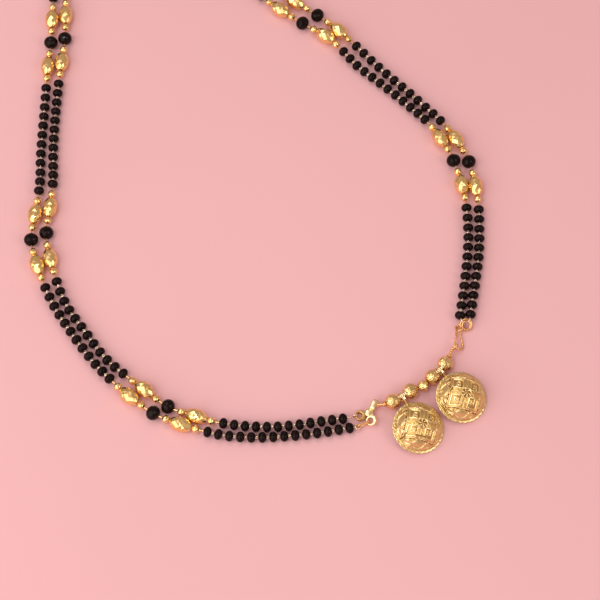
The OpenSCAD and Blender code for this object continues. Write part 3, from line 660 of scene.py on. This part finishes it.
# Where each half strand's eye at the centre and at the back sits, and the line that it holds
HELD = {
    "left_outer": ((np.array(LEFT_EYE_SPOT), UP), back_hold(0, 0)),
    "left_inner": ((loop_hold(0), heading(HOLD_HEADINGS[0] + 90)), back_hold(0, 1)),
    "right_outer": (ring_hold(0), back_hold(1, 0)),
    "right_inner": (ring_hold(1), back_hold(1, 1)),
}


# Wires, rings and clasp
# Steps of the pin's wire beside each eye: how far along its way, and how high
LEFT_TAIL, LEFT_LEAD = [(1.9, 0.1), (0.9, -0.5)], [(1, 0.65)]
RIGHT_LEAD, RIGHT_TAIL = [(-0.6, 0.5)], [(-0.2, -0.5), (-0.9, -0.2)]
WRAP_END = [(-0.4, 0.5)]


def link_path(near, far, near_r, far_r, up):
    """A long closed link with a round end at each of two places."""
    ahead = unit(far - near)
    return arc(far, ahead, up, far_r, -85, 85, 12) + arc(near, ahead, up, near_r, 95, 265, 12)


def ball_way(i):
    """The way of the pin through a centre ball."""
    if i == 0:
        return -heading(PIN_HEADINGS[0])
    if i == len(BALL_SPOTS) - 1:
        return heading(PIN_HEADINGS[1])
    return lifted(unit(np.subtract(BALL_SPOTS[i + 1], BALL_SPOTS[i - 1])), 0)


def ball_size(i):
    return MIDDLE_BALL_D if i == len(BALL_SPOTS) // 2 else CENTRE_BALL_D


def pin_end(k):
    """Where the pin leaves the bead cap beside its first or last ball."""
    reach = CENTRE_BALL_D / 2 + PIN_LEAD
    return lifted(BALL_SPOTS[-k], CENTRE_BALL_D / 2) + heading(PIN_HEADINGS[k]) * reach


def beside(spot, way, steps):
    """Points of a wire near a spot, each from its distance along a way and its height over the spot."""
    return [spot + way * ahead + UP * height for ahead, height in steps]


def make_wire(name, parts, node, slot="gold_wire"):
    make_piece(name, parts, [wire_gold], node, slot)


def make_centre_pin():
    """The wire through the centre balls, with an eye at each end and a wrap beside the right eye."""
    left_way = lifted(unit(np.subtract(BALL_SPOTS[0], UPRIGHT_SPOT)), 0)
    left_bend = lifted(UPRIGHT_SPOT, PIN_EYE_Z) + left_way * LEFT_BEND_LEAD
    path = beside(left_bend, left_way, LEFT_TAIL)
    path += arc(left_bend, left_way, UP, PIN_EYE_R, 270, 90, 11)
    path += beside(left_bend, left_way, LEFT_LEAD) + [pin_end(0)]
    for i, spot in enumerate(BALL_SPOTS):
        half = ball_way(i) * ball_size(i) / 2
        path += [lifted(spot, CENTRE_BALL_D / 2) + half * side for side in (-1, 1)]
    eye, eye_way = np.array(RIGHT_EYE), heading(RIGHT_EYE_HEADING)
    path += [pin_end(1)] + beside(eye, eye_way, RIGHT_LEAD)
    path += arc(eye + eye_way * RIGHT_EYE_HALF, eye_way, UP, PIN_EYE_R, 90, -90, 11)
    path += beside(eye, eye_way, RIGHT_TAIL)
    neck = beside(eye, eye_way, WRAP_END)[0] - pin_end(1)
    wrap = coil(pin_end(1), neck, turns=3.5, r_from=0.33, r_to=0.33, n=60)
    parts = [tube(rounded(path), PIN_WIRE_D, sides=12), tube(wrap, WRAP_WIRE_D, sides=8)]
    make_wire("pin_wire", parts, "centre_pin")


def make_pin_coils():
    """The little coils of wire that stand for the bead caps beside the outer balls."""
    for k, side in enumerate(("left", "right")):
        way = heading(PIN_HEADINGS[k])
        path = coil(pin_end(k) - way * 0.6, way * 0.5, turns=2.1, r_from=0.66, r_to=0.52, n=40)
        wire = tube(path, COIL_WIRE_D, sides=8)
        make_wire(side + "_pin_coil", [wire], side + "_pin_cap", "gold")


def make_right_fittings():
    """The double ring that gathers the right strands, the small ring and the long link to the pin."""
    normal = unit(RING_NORMAL)
    lift, across, up = SECOND_RING_SHIFT
    second = np.array(RING_SPOT) + normal * lift + RING_ACROSS * across + RING_UP * up
    parts = [ring(RING_SPOT, normal, RING_D, FIRST_RING_WIRE_D),
             ring(second, normal + RING_ACROSS * SECOND_RING_TILT, SECOND_RING_D, SECOND_RING_WIRE_D)]
    make_wire("right_jump_ring", parts, "right_ring")
    parts = [ring(SMALL_RING_SPOT, SMALL_RING_NORMAL, SMALL_RING_D, RIGHT_WIRE_D, 40)]
    make_wire("right_little_ring", parts, "right_small_ring")

    normal = unit(OVAL_LINK_NORMAL)
    ahead = np.array([0, -1.0, 0])
    ahead = unit(ahead - normal * (normal @ ahead))
    spot = np.array(OVAL_LINK_SPOT)
    near, far = spot - ahead * OVAL_LINK_HALF, spot + ahead * (OVAL_LINK_HALF - 0.1)
    path = link_path(near, far, OVAL_LINK_NEAR_R, OVAL_LINK_FAR_R, np.cross(normal, ahead))
    make_wire("right_long_link", [tube(path, RIGHT_WIRE_D, closed=True)], "right_oval_link")


def make_left_link():
    """The link from the left outer strand's eye to the second loop of the connector."""
    far, near = loop_hold(1), np.array(LEFT_EYE_SPOT)
    way = unit(far - near)
    path = link_path(near + way * LEFT_LINK_NEAR_R, far, LEFT_LINK_NEAR_R, LEFT_LINK_FAR_R,
                     unit(UP - way * way[2]))
    make_wire("left_long_link", [tube(path, LEFT_WIRE_D, closed=True)], "left_link")


def make_clasp():
    """An S hook between two rings at the back."""
    for side, spot in zip(("left", "right"), BACK_RING_SPOTS):
        parts = [ring(lifted(spot, BACK_Z), UP, BACK_RING_D, RING_WIRE_D)]
        make_wire(side + "_clasp_ring", parts, side + "_back_ring")
    first = lifted(BACK_RING_SPOTS[0], BACK_Z) + CLASP_WAY * BACK_RING_D / 2
    last = lifted(BACK_RING_SPOTS[1], BACK_Z) - CLASP_WAY * BACK_RING_D / 2
    path = arc(first, CLASP_WAY, UP, HOOK_BEND_D / 2, 50, 270, 15)
    path += arc(last, CLASP_WAY, UP, HOOK_BEND_D / 2, 90, -130, 15)
    make_wire("clasp_s_hook", [tube(path, HOOK_D, sides=14)], "clasp_hook", "gold")


# Connector
LOOP_STEPS, UPRIGHT_STEPS, SOLDER_STEPS, SOLDER_SIDES = 56, 60, 21, 40
LOOP_WALL, SOLDER_Z = 1.0, 1


def round_loop(i):
    """A band round an off-centre hole, half as wide where a wire holds it."""
    down, up = loop_axes(i)
    across = np.cross(up, down)
    hole = np.array([(LOOP_WALL - STRIP) / 2, 0])
    hole_r = (LOOP_D - STRIP - LOOP_WALL) / 2
    points = []
    for b in angles(LOOP_STEPS):
        way = np.array([cos(b), sin(b)])
        reach = sqrt((hole @ way) ** 2 + (LOOP_D / 2) ** 2 - hole @ hole) - hole @ way
        cut = float(smooth((hole[0] + hole_r * way[0] - LOOP_D / 4 + 0.2) / 0.4))
        for su, sv in flat_ends():
            at = hole + way * ((hole_r + reach) / 2 + (reach - hole_r) / 2 * su)
            z = STRIP_W / 4 * cut + STRIP_W / 2 * (1 - cut / 2) * sv
            points.append(LOOP_SPOTS[i] + down * at[0] + across * at[1] + up * z)
    return points, grid_faces(LOOP_STEPS, SECTION_SIDES, wrap_rows=True)


def upright_loop():
    """A strip bent to an upright loop, with a narrow bar at the bottom."""
    way, along = heading(UPRIGHT_HEADING), heading(UPRIGHT_HEADING + 90)
    middle = lifted(UPRIGHT_SPOT, BAR_Z + UPRIGHT_H / 2)
    a, c = (UPRIGHT_LEN - STRIP) / 2, (UPRIGHT_H - STRIP) / 2
    points = []
    for y, z in flat_ends(UPRIGHT_STEPS):
        out = unit(along * y ** 3 / a + UP * z ** 3 / c)
        low = float(smooth((-z - 0.6) / 0.3))
        for su, sv in flat_ends():
            x = (STRIP_W - BAR_W) / 2 * low + (STRIP_W - (STRIP_W - BAR_W) * low) / 2 * su
            points.append(middle + along * y * a + UP * z * c + out * sv * STRIP * 0.6 + way * x)
    return points, grid_faces(UPRIGHT_STEPS, SECTION_SIDES, wrap_rows=True)


def solder():
    """The round pad of solder between the loops, with rounded edges."""
    r, half = SOLDER_D / 2, STRIP_W / 2
    heights = half * np.sin(np.radians(np.linspace(-89, 89, SOLDER_STEPS)))
    points = spun_points([(r * (1 - abs(z / half) ** 3) ** (1 / 3), z) for z in heights], SOLDER_SIDES)
    return points + lifted(SOLDER_SPOT, SOLDER_Z), capped_faces(SOLDER_STEPS, SOLDER_SIDES)


def make_connector():
    """The soldered loops, with the first painted in a darker gold as shade and the rest in a pale gold of
    painted highlight.
    """
    parts = [(*round_loop(0), 1), round_loop(1), upright_loop(), solder()]
    make_piece("soldered_loops", parts, [polished_highlight_gold, groove_shade_gold], "left_connector", "gold")


# Centre balls
BALL_ROWS, BALL_COLS = 72, 108
# How many cuts each ring has, counted from the belly, and the angle between two rings
CUTS, CUT_RING_STEP = (9, 9, 6), 0.56
CUT_SHARE, GROOVE_DEPTH, GROOVE_WIDTH = 0.965, 0.1, 0.06
# GROOVE_SHADE_FROM: how deep in a groove the painted shade starts
GROOVE_SOFT, GROOVE_SHADE_FROM = 0.04, 0.8
RING_SLACK, CUT_SLACK = 0.03, 0.06
CENTRE_BALL_LIFT = 0.04


def cut_ways(rng):
    """The direction of each cut, slightly off its even place."""
    cuts = []
    for ring_no in range(-2, 3):
        count = CUTS[abs(ring_no)]
        for k in range(count):
            t = pi / 2 + CUT_RING_STEP * ring_no + rng.uniform(-RING_SLACK, RING_SLACK)
            p = 2 * pi * (k + 0.5 * (ring_no % 2) + rng.uniform(-CUT_SLACK, CUT_SLACK)) / count
            cuts.append([sin(t) * cos(p), sin(t) * sin(p), -cos(t)])
    return np.array(cuts)


def etched_ball(d, seed):
    """A ball with flat diamond cuts in rings and a groove round each cut, its deepest part painted dark as
    shade.
    """
    start = asin(PIN_BORE_D / d)
    a, b = np.meshgrid(start + (pi - 2 * start) * np.arange(BALL_ROWS) / (BALL_ROWS - 1),
                       angles(BALL_COLS), indexing="ij")
    way = np.stack([np.sin(a) * np.cos(b), np.sin(a) * np.sin(b), -np.cos(a)], axis=-1)
    near = np.sort(way @ cut_ways(random.Random(seed)).T, axis=-1)
    groove = smooth((GROOVE_WIDTH - (near[..., -1] - near[..., -2])) / GROOVE_SOFT)
    r = np.minimum(d / 2 * CUT_SHARE / near[..., -1], d / 2) - GROOVE_DEPTH * groove
    # The deepest part of each groove takes the darker gold of painted shade.
    dark = groove > GROOVE_SHADE_FROM
    kinds = (dark[:-1] & dark[1:]).reshape(-1).astype(int).tolist()
    return (way * r[..., None]).reshape(-1, 3), grid_faces(BALL_ROWS, BALL_COLS), kinds


def make_centre_balls():
    for i, spot in enumerate(BALL_SPOTS):
        points, faces, kinds = etched_ball(ball_size(i) * CENTRE_BALL_GROWTH, i)
        shape = Shape()
        at = lifted(spot, CENTRE_BALL_D / 2 + CENTRE_BALL_LIFT)
        add_bead(shape, (points, faces), at, ball_way(i), 0.4 * i, kinds)
        number = i + 1
        shape.make(f"etched_ball_{number}", [etched_gold, groove_shade_gold], f"centre_ball_{number}", "gold")


# Ornament of the vatis
# The bowl's finishes: satin; dark gold of painted shade; pale gold of painted highlight; darker gold of
# painted shade; paler border gold of painted reflection.
SATIN, DARK_SHADE, POLISHED_HIGHLIGHT, SHADED, EDGE = range(5)
VATI_FINISHES_AND_PAINTED_LIGHT = [bowl_gold, dark_shade_gold, polished_highlight_gold, shaded_gold, edge_reflection_gold]
BOWL_R = VATI_D / 2 - RIM_W
FRAME_TURN, FRAME_HALF, CROSS_START_R = 10, 0.61 * BOWL_R, 1.8
FRET_AT, FRET_HALF = 0.35 * BOWL_R, 1.42
LEAVES, LEAF_TURN = 12, -10
# How far out a leaf lies, its half length and its half width: each third leaf, and the others
BIG_LEAF, SMALL_LEAF = (0.78 * BOWL_R, 1.9, 0.95), (0.84 * BOWL_R, 1.2, 0.55)
FLOWER_R, PETALS, PETAL_SWEEP = 1.5, 6, 2.2
GROUND, FRET_FLOOR, FLOWER_FLOOR, LOWEST = -0.06, -0.15, -0.16, -0.25


def box_distance(x, y, cx, cy, hx, hy):
    """Distance from the outline of a box, below 0 inside it."""
    dx, dy = np.abs(x - cx) - hx, np.abs(y - cy) - hy
    return np.hypot(np.maximum(dx, 0), np.maximum(dy, 0)) + np.minimum(np.maximum(dx, dy), 0)


def leaf_distance(x, y, at, angle, half_l, half_w):
    """Distance from the outline of a leaf that lies square to the way out, below 0 inside it."""
    c = radians(angle)
    p = x * cos(c) + y * sin(c) - at
    q = -x * sin(c) + y * cos(c)
    r = (half_l ** 2 + half_w ** 2) / (2 * half_w)
    return np.maximum(np.hypot(p - (r - half_w), q), np.hypot(p + (r - half_w), q)) - r


def ridge(distance, half, soft=0.07):
    """1 on a line, 0 away from it."""
    return smooth((half + soft - np.abs(distance)) / (2 * soft))


class Ornament:
    """The relief over the plan of a bowl: its height, its raised lines and the finish of each spot, among
    them painted highlight, painted shade and painted reflection.
    """

    def __init__(self, x, y):
        self.x, self.y = x, y
        self.rho, self.theta = np.hypot(x, y), np.arctan2(y, x)
        a = radians(FRAME_TURN)
        self.u, self.v = x * cos(a) - y * sin(a), x * sin(a) + y * cos(a)
        self.past_frame = box_distance(self.u, self.v, 0, 0, FRAME_HALF, FRAME_HALF)
        self.height = self.ground()
        self.lines = ridge(self.past_frame, 0.11)
        # Past the frame the border takes the paler gold of painted reflection.
        self.kinds = np.where(self.past_frame > 0.3, EDGE, SATIN)
        self.add_frame()
        self.add_frets()
        self.add_leaves()
        self.add_flower()
        self.height = np.clip(self.height + self.lines * (RELIEF - self.height), LOWEST, RELIEF)
        # Raised lines take the paler gold of painted highlight.
        self.kinds = np.where(self.lines > 0.7, POLISHED_HIGHLIGHT, self.kinds)

    def ground(self):
        """A fine weave inside the frame and fine cuts on the border."""
        u, v = self.u, self.v
        weave = np.sin(u * 5.1 + 0.8 * np.sin(v * 2.3)) * np.sin(v * 4.7 + 0.9 * np.sin(u * 2.9))
        slant = self.x * 0.8 + self.y * 0.6 + 0.5 * np.sin(3 * self.theta)
        cuts = np.cos(2 * pi * slant / 0.8)
        border = smooth(self.past_frame / 0.2)
        return (1 - border) * (GROUND + 0.03 * weave) + border * (GROUND + 0.06 * cuts)

    def cover(self, share, height, lines):
        """Lays a field over the relief, with a height and raised lines of its own."""
        self.height = self.height * (1 - share) + share * height
        self.lines = np.maximum(self.lines * (1 - share), lines)

    def add_frame(self):
        """A groove round the square frame, painted dark as shade, and a cross that parts the frame in
        four.
        """
        self.kinds = np.where(ridge(self.past_frame - 0.3, 0.12, 0.04) > 0.6, DARK_SHADE, self.kinds)
        self.height = self.height - 0.12 * ridge(self.past_frame - 0.3, 0.1, 0.06)
        cross = ridge(np.minimum(np.abs(self.u), np.abs(self.v)), 0.09)
        in_frame = (self.past_frame < 0) * (self.rho > CROSS_START_R)
        self.lines = np.maximum(self.lines, cross * in_frame)

    def add_frets(self):
        """A sunk square in each quarter of the frame, with a raised edge and a hook-shaped stroke."""
        u, v = self.u, self.v
        for sx, sy in ((1, 1), (-1, 1), (-1, -1), (1, -1)):
            cx, cy = sx * FRET_AT, sy * FRET_AT
            square = box_distance(u, v, cx, cy, FRET_HALF, FRET_HALF)
            self.cover(smooth((0.1 - square) / 0.1), FRET_FLOOR, ridge(square + 0.17, 0.17))
            head = np.abs(box_distance(u, v, cx - sx * 0.1, cy - sy * 0.1, 0.42, 0.42)) - 0.1
            tail = box_distance(u, v, cx + sx * 0.42, cy - sy * 0.55, 0.12, 0.5)
            hook = np.minimum(head, tail)
            self.lines = np.maximum(self.lines, smooth((0.06 - hook) / 0.1) * (square < -0.3))
            # The deep part of each fret is painted as shade: darkest near the middle, a darker gold
            # further out.
            deep = (square < -0.42) & (hook > 0.14)
            kinds = np.where(deep, np.where(self.rho < 2.8, DARK_SHADE, SHADED), SATIN)
            self.kinds = np.where(square < 0.05, kinds, self.kinds)

    def add_leaves(self):
        """Leaves with raised outlines round the border, every third one big."""
        for i in range(LEAVES):
            at, half_l, half_w = SMALL_LEAF if i % 3 else BIG_LEAF
            leaf = leaf_distance(self.x, self.y, at, 360 / LEAVES * i + LEAF_TURN, half_l, half_w)
            outside = self.past_frame > 0.15
            inside = smooth((0.05 - leaf) / 0.1) * smooth((self.past_frame - 0.15) / 0.1)
            self.cover(inside, GROUND + 0.12 * smooth(-leaf / 0.7), ridge(leaf + 0.05, 0.08) * outside)
            self.height = self.height - 0.14 * ridge(leaf - 0.16, 0.06) * outside

    def add_flower(self):
        """A flower in a round sunk field, with its raised petals in a pale gold of painted highlight and
        the hollows between them in a dark gold of painted shade, by turns.
        """
        rho = self.rho
        petals = 0.5 + 0.5 * np.cos(PETALS * self.theta + PETAL_SWEEP * rho)
        flower = FLOWER_FLOOR + 0.28 * petals * smooth((0.95 - rho) / 0.2) * smooth(rho / 0.3)
        flower = flower + 0.28 * smooth((0.32 - rho) / 0.12)
        self.cover(smooth((FLOWER_R - rho) / 0.12), flower, ridge(rho - 1.32, 0.1))
        petal_kinds = np.where(petals > 0.6, POLISHED_HIGHLIGHT, np.where(petals < 0.4, DARK_SHADE, SATIN))
        flower_kinds = np.where((rho > 0.32) & (rho < 1.22), petal_kinds, SATIN)
        self.kinds = np.where(rho < FLOWER_R, flower_kinds, self.kinds)


# Vatis
DOME_ROWS, BOWL_COLS, HOLLOW_ROWS = 140, 420, 26
SLIT_HALF, SLIT_DEPTH = 0.16, 0.2
# The rim's outline: the share of the way out from the dome to the scallops, and of the rim's height
RIM_PROFILE = ((0.15, 0.66), (0.5, 0.58), (0.8, 0.52), (0.94, 0.46), (1.0, 0.34), (1.0, 0.1), (0.93, 0))
SCALLOP_SHARE = 0.6
BAND_STEPS, STRIP_STEPS, RIB_DEPTH = 40, 31, 0.16
BAR_HALF, SADDLE_SPAN, BAIL_BACK = 1.3, 70, 0.35
# The slits of each bowl, painted dark as shade, from x, y to x, y on its plan
LEFT_SLITS = [(-5.4, -3.6, -4.2, -3.2), (-4.4, -3.3, -4.0, -2.4), (-1.6, -3.0, 0.9, -3.4)]
RIGHT_SLITS = [(2.4, 5.2, 2.8, 4.0), (-3.9, 0.6, -3.4, 1.6)]

SPHERE_R = (BOWL_R ** 2 + VATI_H ** 2) / (2 * VATI_H)
DOME_EDGE = acos((SPHERE_R - VATI_H + RIM_H * 0.7) / SPHERE_R)


def dome(slits):
    """The ornamented dome: rings of points from its top down, and the finish of each point, painted light
    and shade among them.
    """
    slopes = DOME_EDGE * (np.arange(DOME_ROWS) + 0.4) / (DOME_ROWS - 0.6)
    p, t = np.meshgrid(slopes, angles(BOWL_COLS), indexing="ij")
    x, y = SPHERE_R * np.sin(p) * np.cos(t), SPHERE_R * np.sin(p) * np.sin(t)
    ornament = Ornament(x, y)
    height, kinds = ornament.height, ornament.kinds
    # Each slit is sunk and painted dark as shade.
    for sx, sy, ex, ey in slits:
        ax, ay = ex - sx, ey - sy
        share = np.clip(((x - sx) * ax + (y - sy) * ay) / (ax * ax + ay * ay), 0, 1)
        in_slit = np.hypot(x - sx - share * ax, y - sy - share * ay) < SLIT_HALF
        height = np.where(in_slit, -SLIT_DEPTH, height)
        kinds = np.where(in_slit, DARK_SHADE, kinds)
    r = SPHERE_R + height - 0.01
    z = VATI_H - SPHERE_R + r * np.cos(p)
    points = np.stack([r * np.sin(p) * np.cos(t), r * np.sin(p) * np.sin(t), z], axis=-1)
    return points.reshape(-1, 3), kinds


def bowl_ring(r, z):
    """One ring of a bowl, with its radius and height given as numbers or for each point."""
    t = angles(BOWL_COLS)
    return np.stack([r * np.cos(t), r * np.sin(t), z * np.ones(BOWL_COLS)], axis=-1)


def rim_rings():
    """The scalloped rim, from the foot of the dome out and down."""
    step = 2 * pi / SCALLOPS
    lobe_r = 0.75 * pi * VATI_D / SCALLOPS
    lobe_at = VATI_D / 2 - lobe_r
    off = (angles(BOWL_COLS) + step / 2) % step - step / 2
    lobes = lobe_at * np.cos(off) + np.sqrt(lobe_r ** 2 - (lobe_at * np.sin(off)) ** 2)
    outer = lobes * SCALLOP_SHARE + (VATI_D / 2 - 0.06) * (1 - SCALLOP_SHARE)
    inner = SPHERE_R * sin(DOME_EDGE)
    bulge = np.cos(off / step * pi) ** 2
    rings = []
    for out, up in RIM_PROFILE:
        z = up + 0.06 * out * (bulge - 0.5) if up > 0.3 else up
        rings.append(bowl_ring(inner + (outer - inner) * out, RIM_H * z))
    return rings


def hollow_rings():
    """The plain inside of the bowl, from its foot up to the top."""
    r = SPHERE_R - VATI_WALL
    foot = acos((SPHERE_R - VATI_H) / r)
    return [bowl_ring(r * np.sin(p), VATI_H - SPHERE_R + r * cos(p))
            for p in np.linspace(foot, 0.02, HOLLOW_ROWS)]


def bowl(slits):
    """The hollow bowl standing on its rim: its points, faces and the finish of each face, painted light
    and shade among them.
    """
    dome_points, dome_kinds = dome(slits)
    rim, hollow = rim_rings(), hollow_rings()
    rows = DOME_ROWS + len(rim) + len(hollow)
    kinds = np.full((rows - 1, BOWL_COLS), SATIN)
    kinds[:DOME_ROWS - 1] = np.where(dome_kinds[:-1] == dome_kinds[1:], dome_kinds[:-1], SATIN)
    # The rim takes the paler gold of painted reflection.
    kinds[DOME_ROWS - 1:DOME_ROWS + len(rim) - 1] = EDGE
    kinds = kinds.reshape(-1).tolist() + [SATIN] * 2
    return np.concatenate([dome_points, *rim, *hollow]), capped_faces(rows, BOWL_COLS), kinds


def ribbed(place):
    """The share of a ribbed strip's width and height at a place along it, counted in ribs."""
    return 1 - RIB_DEPTH + RIB_DEPTH * abs(cos(pi * place))


def bail_band(middle, pin_way):
    """The band round the pin, with grooves round its outside."""
    m = basis(pin_way)
    points = []
    for b in angles(BAND_STEPS):
        out = m[:, 0] * cos(b) + m[:, 1] * sin(b)
        for su, sv in flat_ends():
            groove = 1 - RIB_DEPTH * max(0.0, cos(sv * pi * 2)) if su > 0.3 else 1
            deep = BAIL_BORE / 2 + BAIL_WALL / 2 * (1 + su * groove)
            points.append(middle + out * deep + pin_way * sv * BAIL_W / 2)
    return points, grid_faces(BAND_STEPS, SECTION_SIDES, wrap_rows=True), POLISHED_HIGHLIGHT


def bail_bar(top, side, pin_way):
    """The ribbed bar along the pin on top of the band, with its ends raised and narrow."""
    points = []
    for i in range(STRIP_STEPS):
        t = -1 + i / 15
        rib = ribbed(t * 2.5)
        end = 1.0 if abs(t) < 0.97 else 0.7
        foot = -0.5 + 1.4 * max(0.0, (abs(t) - 0.65) / 0.35)
        for su, sv in flat_ends():
            z = BAIL_WALL * (foot if sv < 0 else foot + (1.0 - foot) * min(1.0, sv * 1.5) * rib)
            across = side * su * BAIL_W / 2 * rib * end
            points.append(top + pin_way * t * BAR_HALF + across + UP * z)
    return points, capped_faces(STRIP_STEPS, SECTION_SIDES), POLISHED_HIGHLIGHT


def bail_saddle(middle, side, pin_way):
    """The ribbed strip that crosses the bar and lies over the band."""
    points = []
    for i, b in enumerate(np.radians(np.linspace(-SADDLE_SPAN, SADDLE_SPAN, STRIP_STEPS))):
        rib = ribbed(i / 6)
        out = UP * cos(b) + side * sin(b)
        for su, sv in flat_ends():
            lift = BAIL_BORE / 2 + BAIL_WALL + BAIL_WALL * (0.25 + 0.5 * sv * rib)
            points.append(middle + out * lift + pin_way * su * BAIL_W / 2 * rib)
    return points, capped_faces(STRIP_STEPS, SECTION_SIDES), POLISHED_HIGHLIGHT


def make_vati(name, spot, ball_before, ball_after, slits):
    """A bowl that leans on the surface, with its bail on the pin between two balls."""
    spot = lifted(spot, 0)
    lean = np.array(Matrix.Rotation(radians(VATI_LEAN), 3, Vector(heading(LEAN_HEADING + 90))))
    seat = spot + UP * VATI_D / 2 * sin(radians(VATI_LEAN))
    points, faces, kinds = bowl(slits)

    before, after = lifted(ball_before, 0), lifted(ball_after, 0)
    pin_way = unit(after - before)
    side = np.cross(UP, pin_way)
    out_way = unit((before + after) / 2 - spot)
    middle = (before + after) / 2 + UP * CENTRE_BALL_D / 2 - out_way * BAIL_BACK
    band_r = BAIL_BORE / 2 + BAIL_WALL
    foot = seat + lean @ (out_way * (BOWL_R - VATI_WALL / 2) + UP * RIM_H / 2)
    top = middle - out_way * (band_r - BAIL_WALL / 2) + UP * BAIL_WALL
    # The bail's band, bar and saddle take the paler gold of painted highlight.
    parts = [
        (points @ lean.T + seat, faces, kinds),
        bail_band(middle, pin_way),
        bail_bar(middle + UP * band_r, side, pin_way),
        bail_saddle(middle, side, pin_way),
        tube([foot, foot * 0.6 + top * 0.4, top], NECK_D, sides=14),
    ]
    make_piece(name + "_bowl", parts, VATI_FINISHES_AND_PAINTED_LIGHT, name, "gold")


def finish_of(node):
    """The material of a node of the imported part, where it shows."""
    if "crystals" in node:
        return crystal_black
    if "vati" in node:
        return bowl_gold
    if "centre_ball" in node or "cap" in node:
        return etched_gold
    return wire_gold


# Run
scene.view_settings.view_transform = "Standard"
make_camera()
make_floor()
make_light()
make_centre_pin()
make_pin_coils()
make_right_fittings()
make_left_link()
make_clasp()
make_connector()
make_centre_balls()
make_vati("left_vati", VATI_SPOTS[0], BALL_SPOTS[0], BALL_SPOTS[1], LEFT_SLITS)
make_vati("right_vati", VATI_SPOTS[1], BALL_SPOTS[3], BALL_SPOTS[4], RIGHT_SLITS)
rng = random.Random(7)
for name, route in ROUTES.items():
    line = Strand(route)
    make_seeds(name, line, rng)
    make_groups(name, line, rng)

for name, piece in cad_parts.items():
    if piece.type == "MESH":
        for slot in piece.material_slots:
            slot.material = finish_of(name)
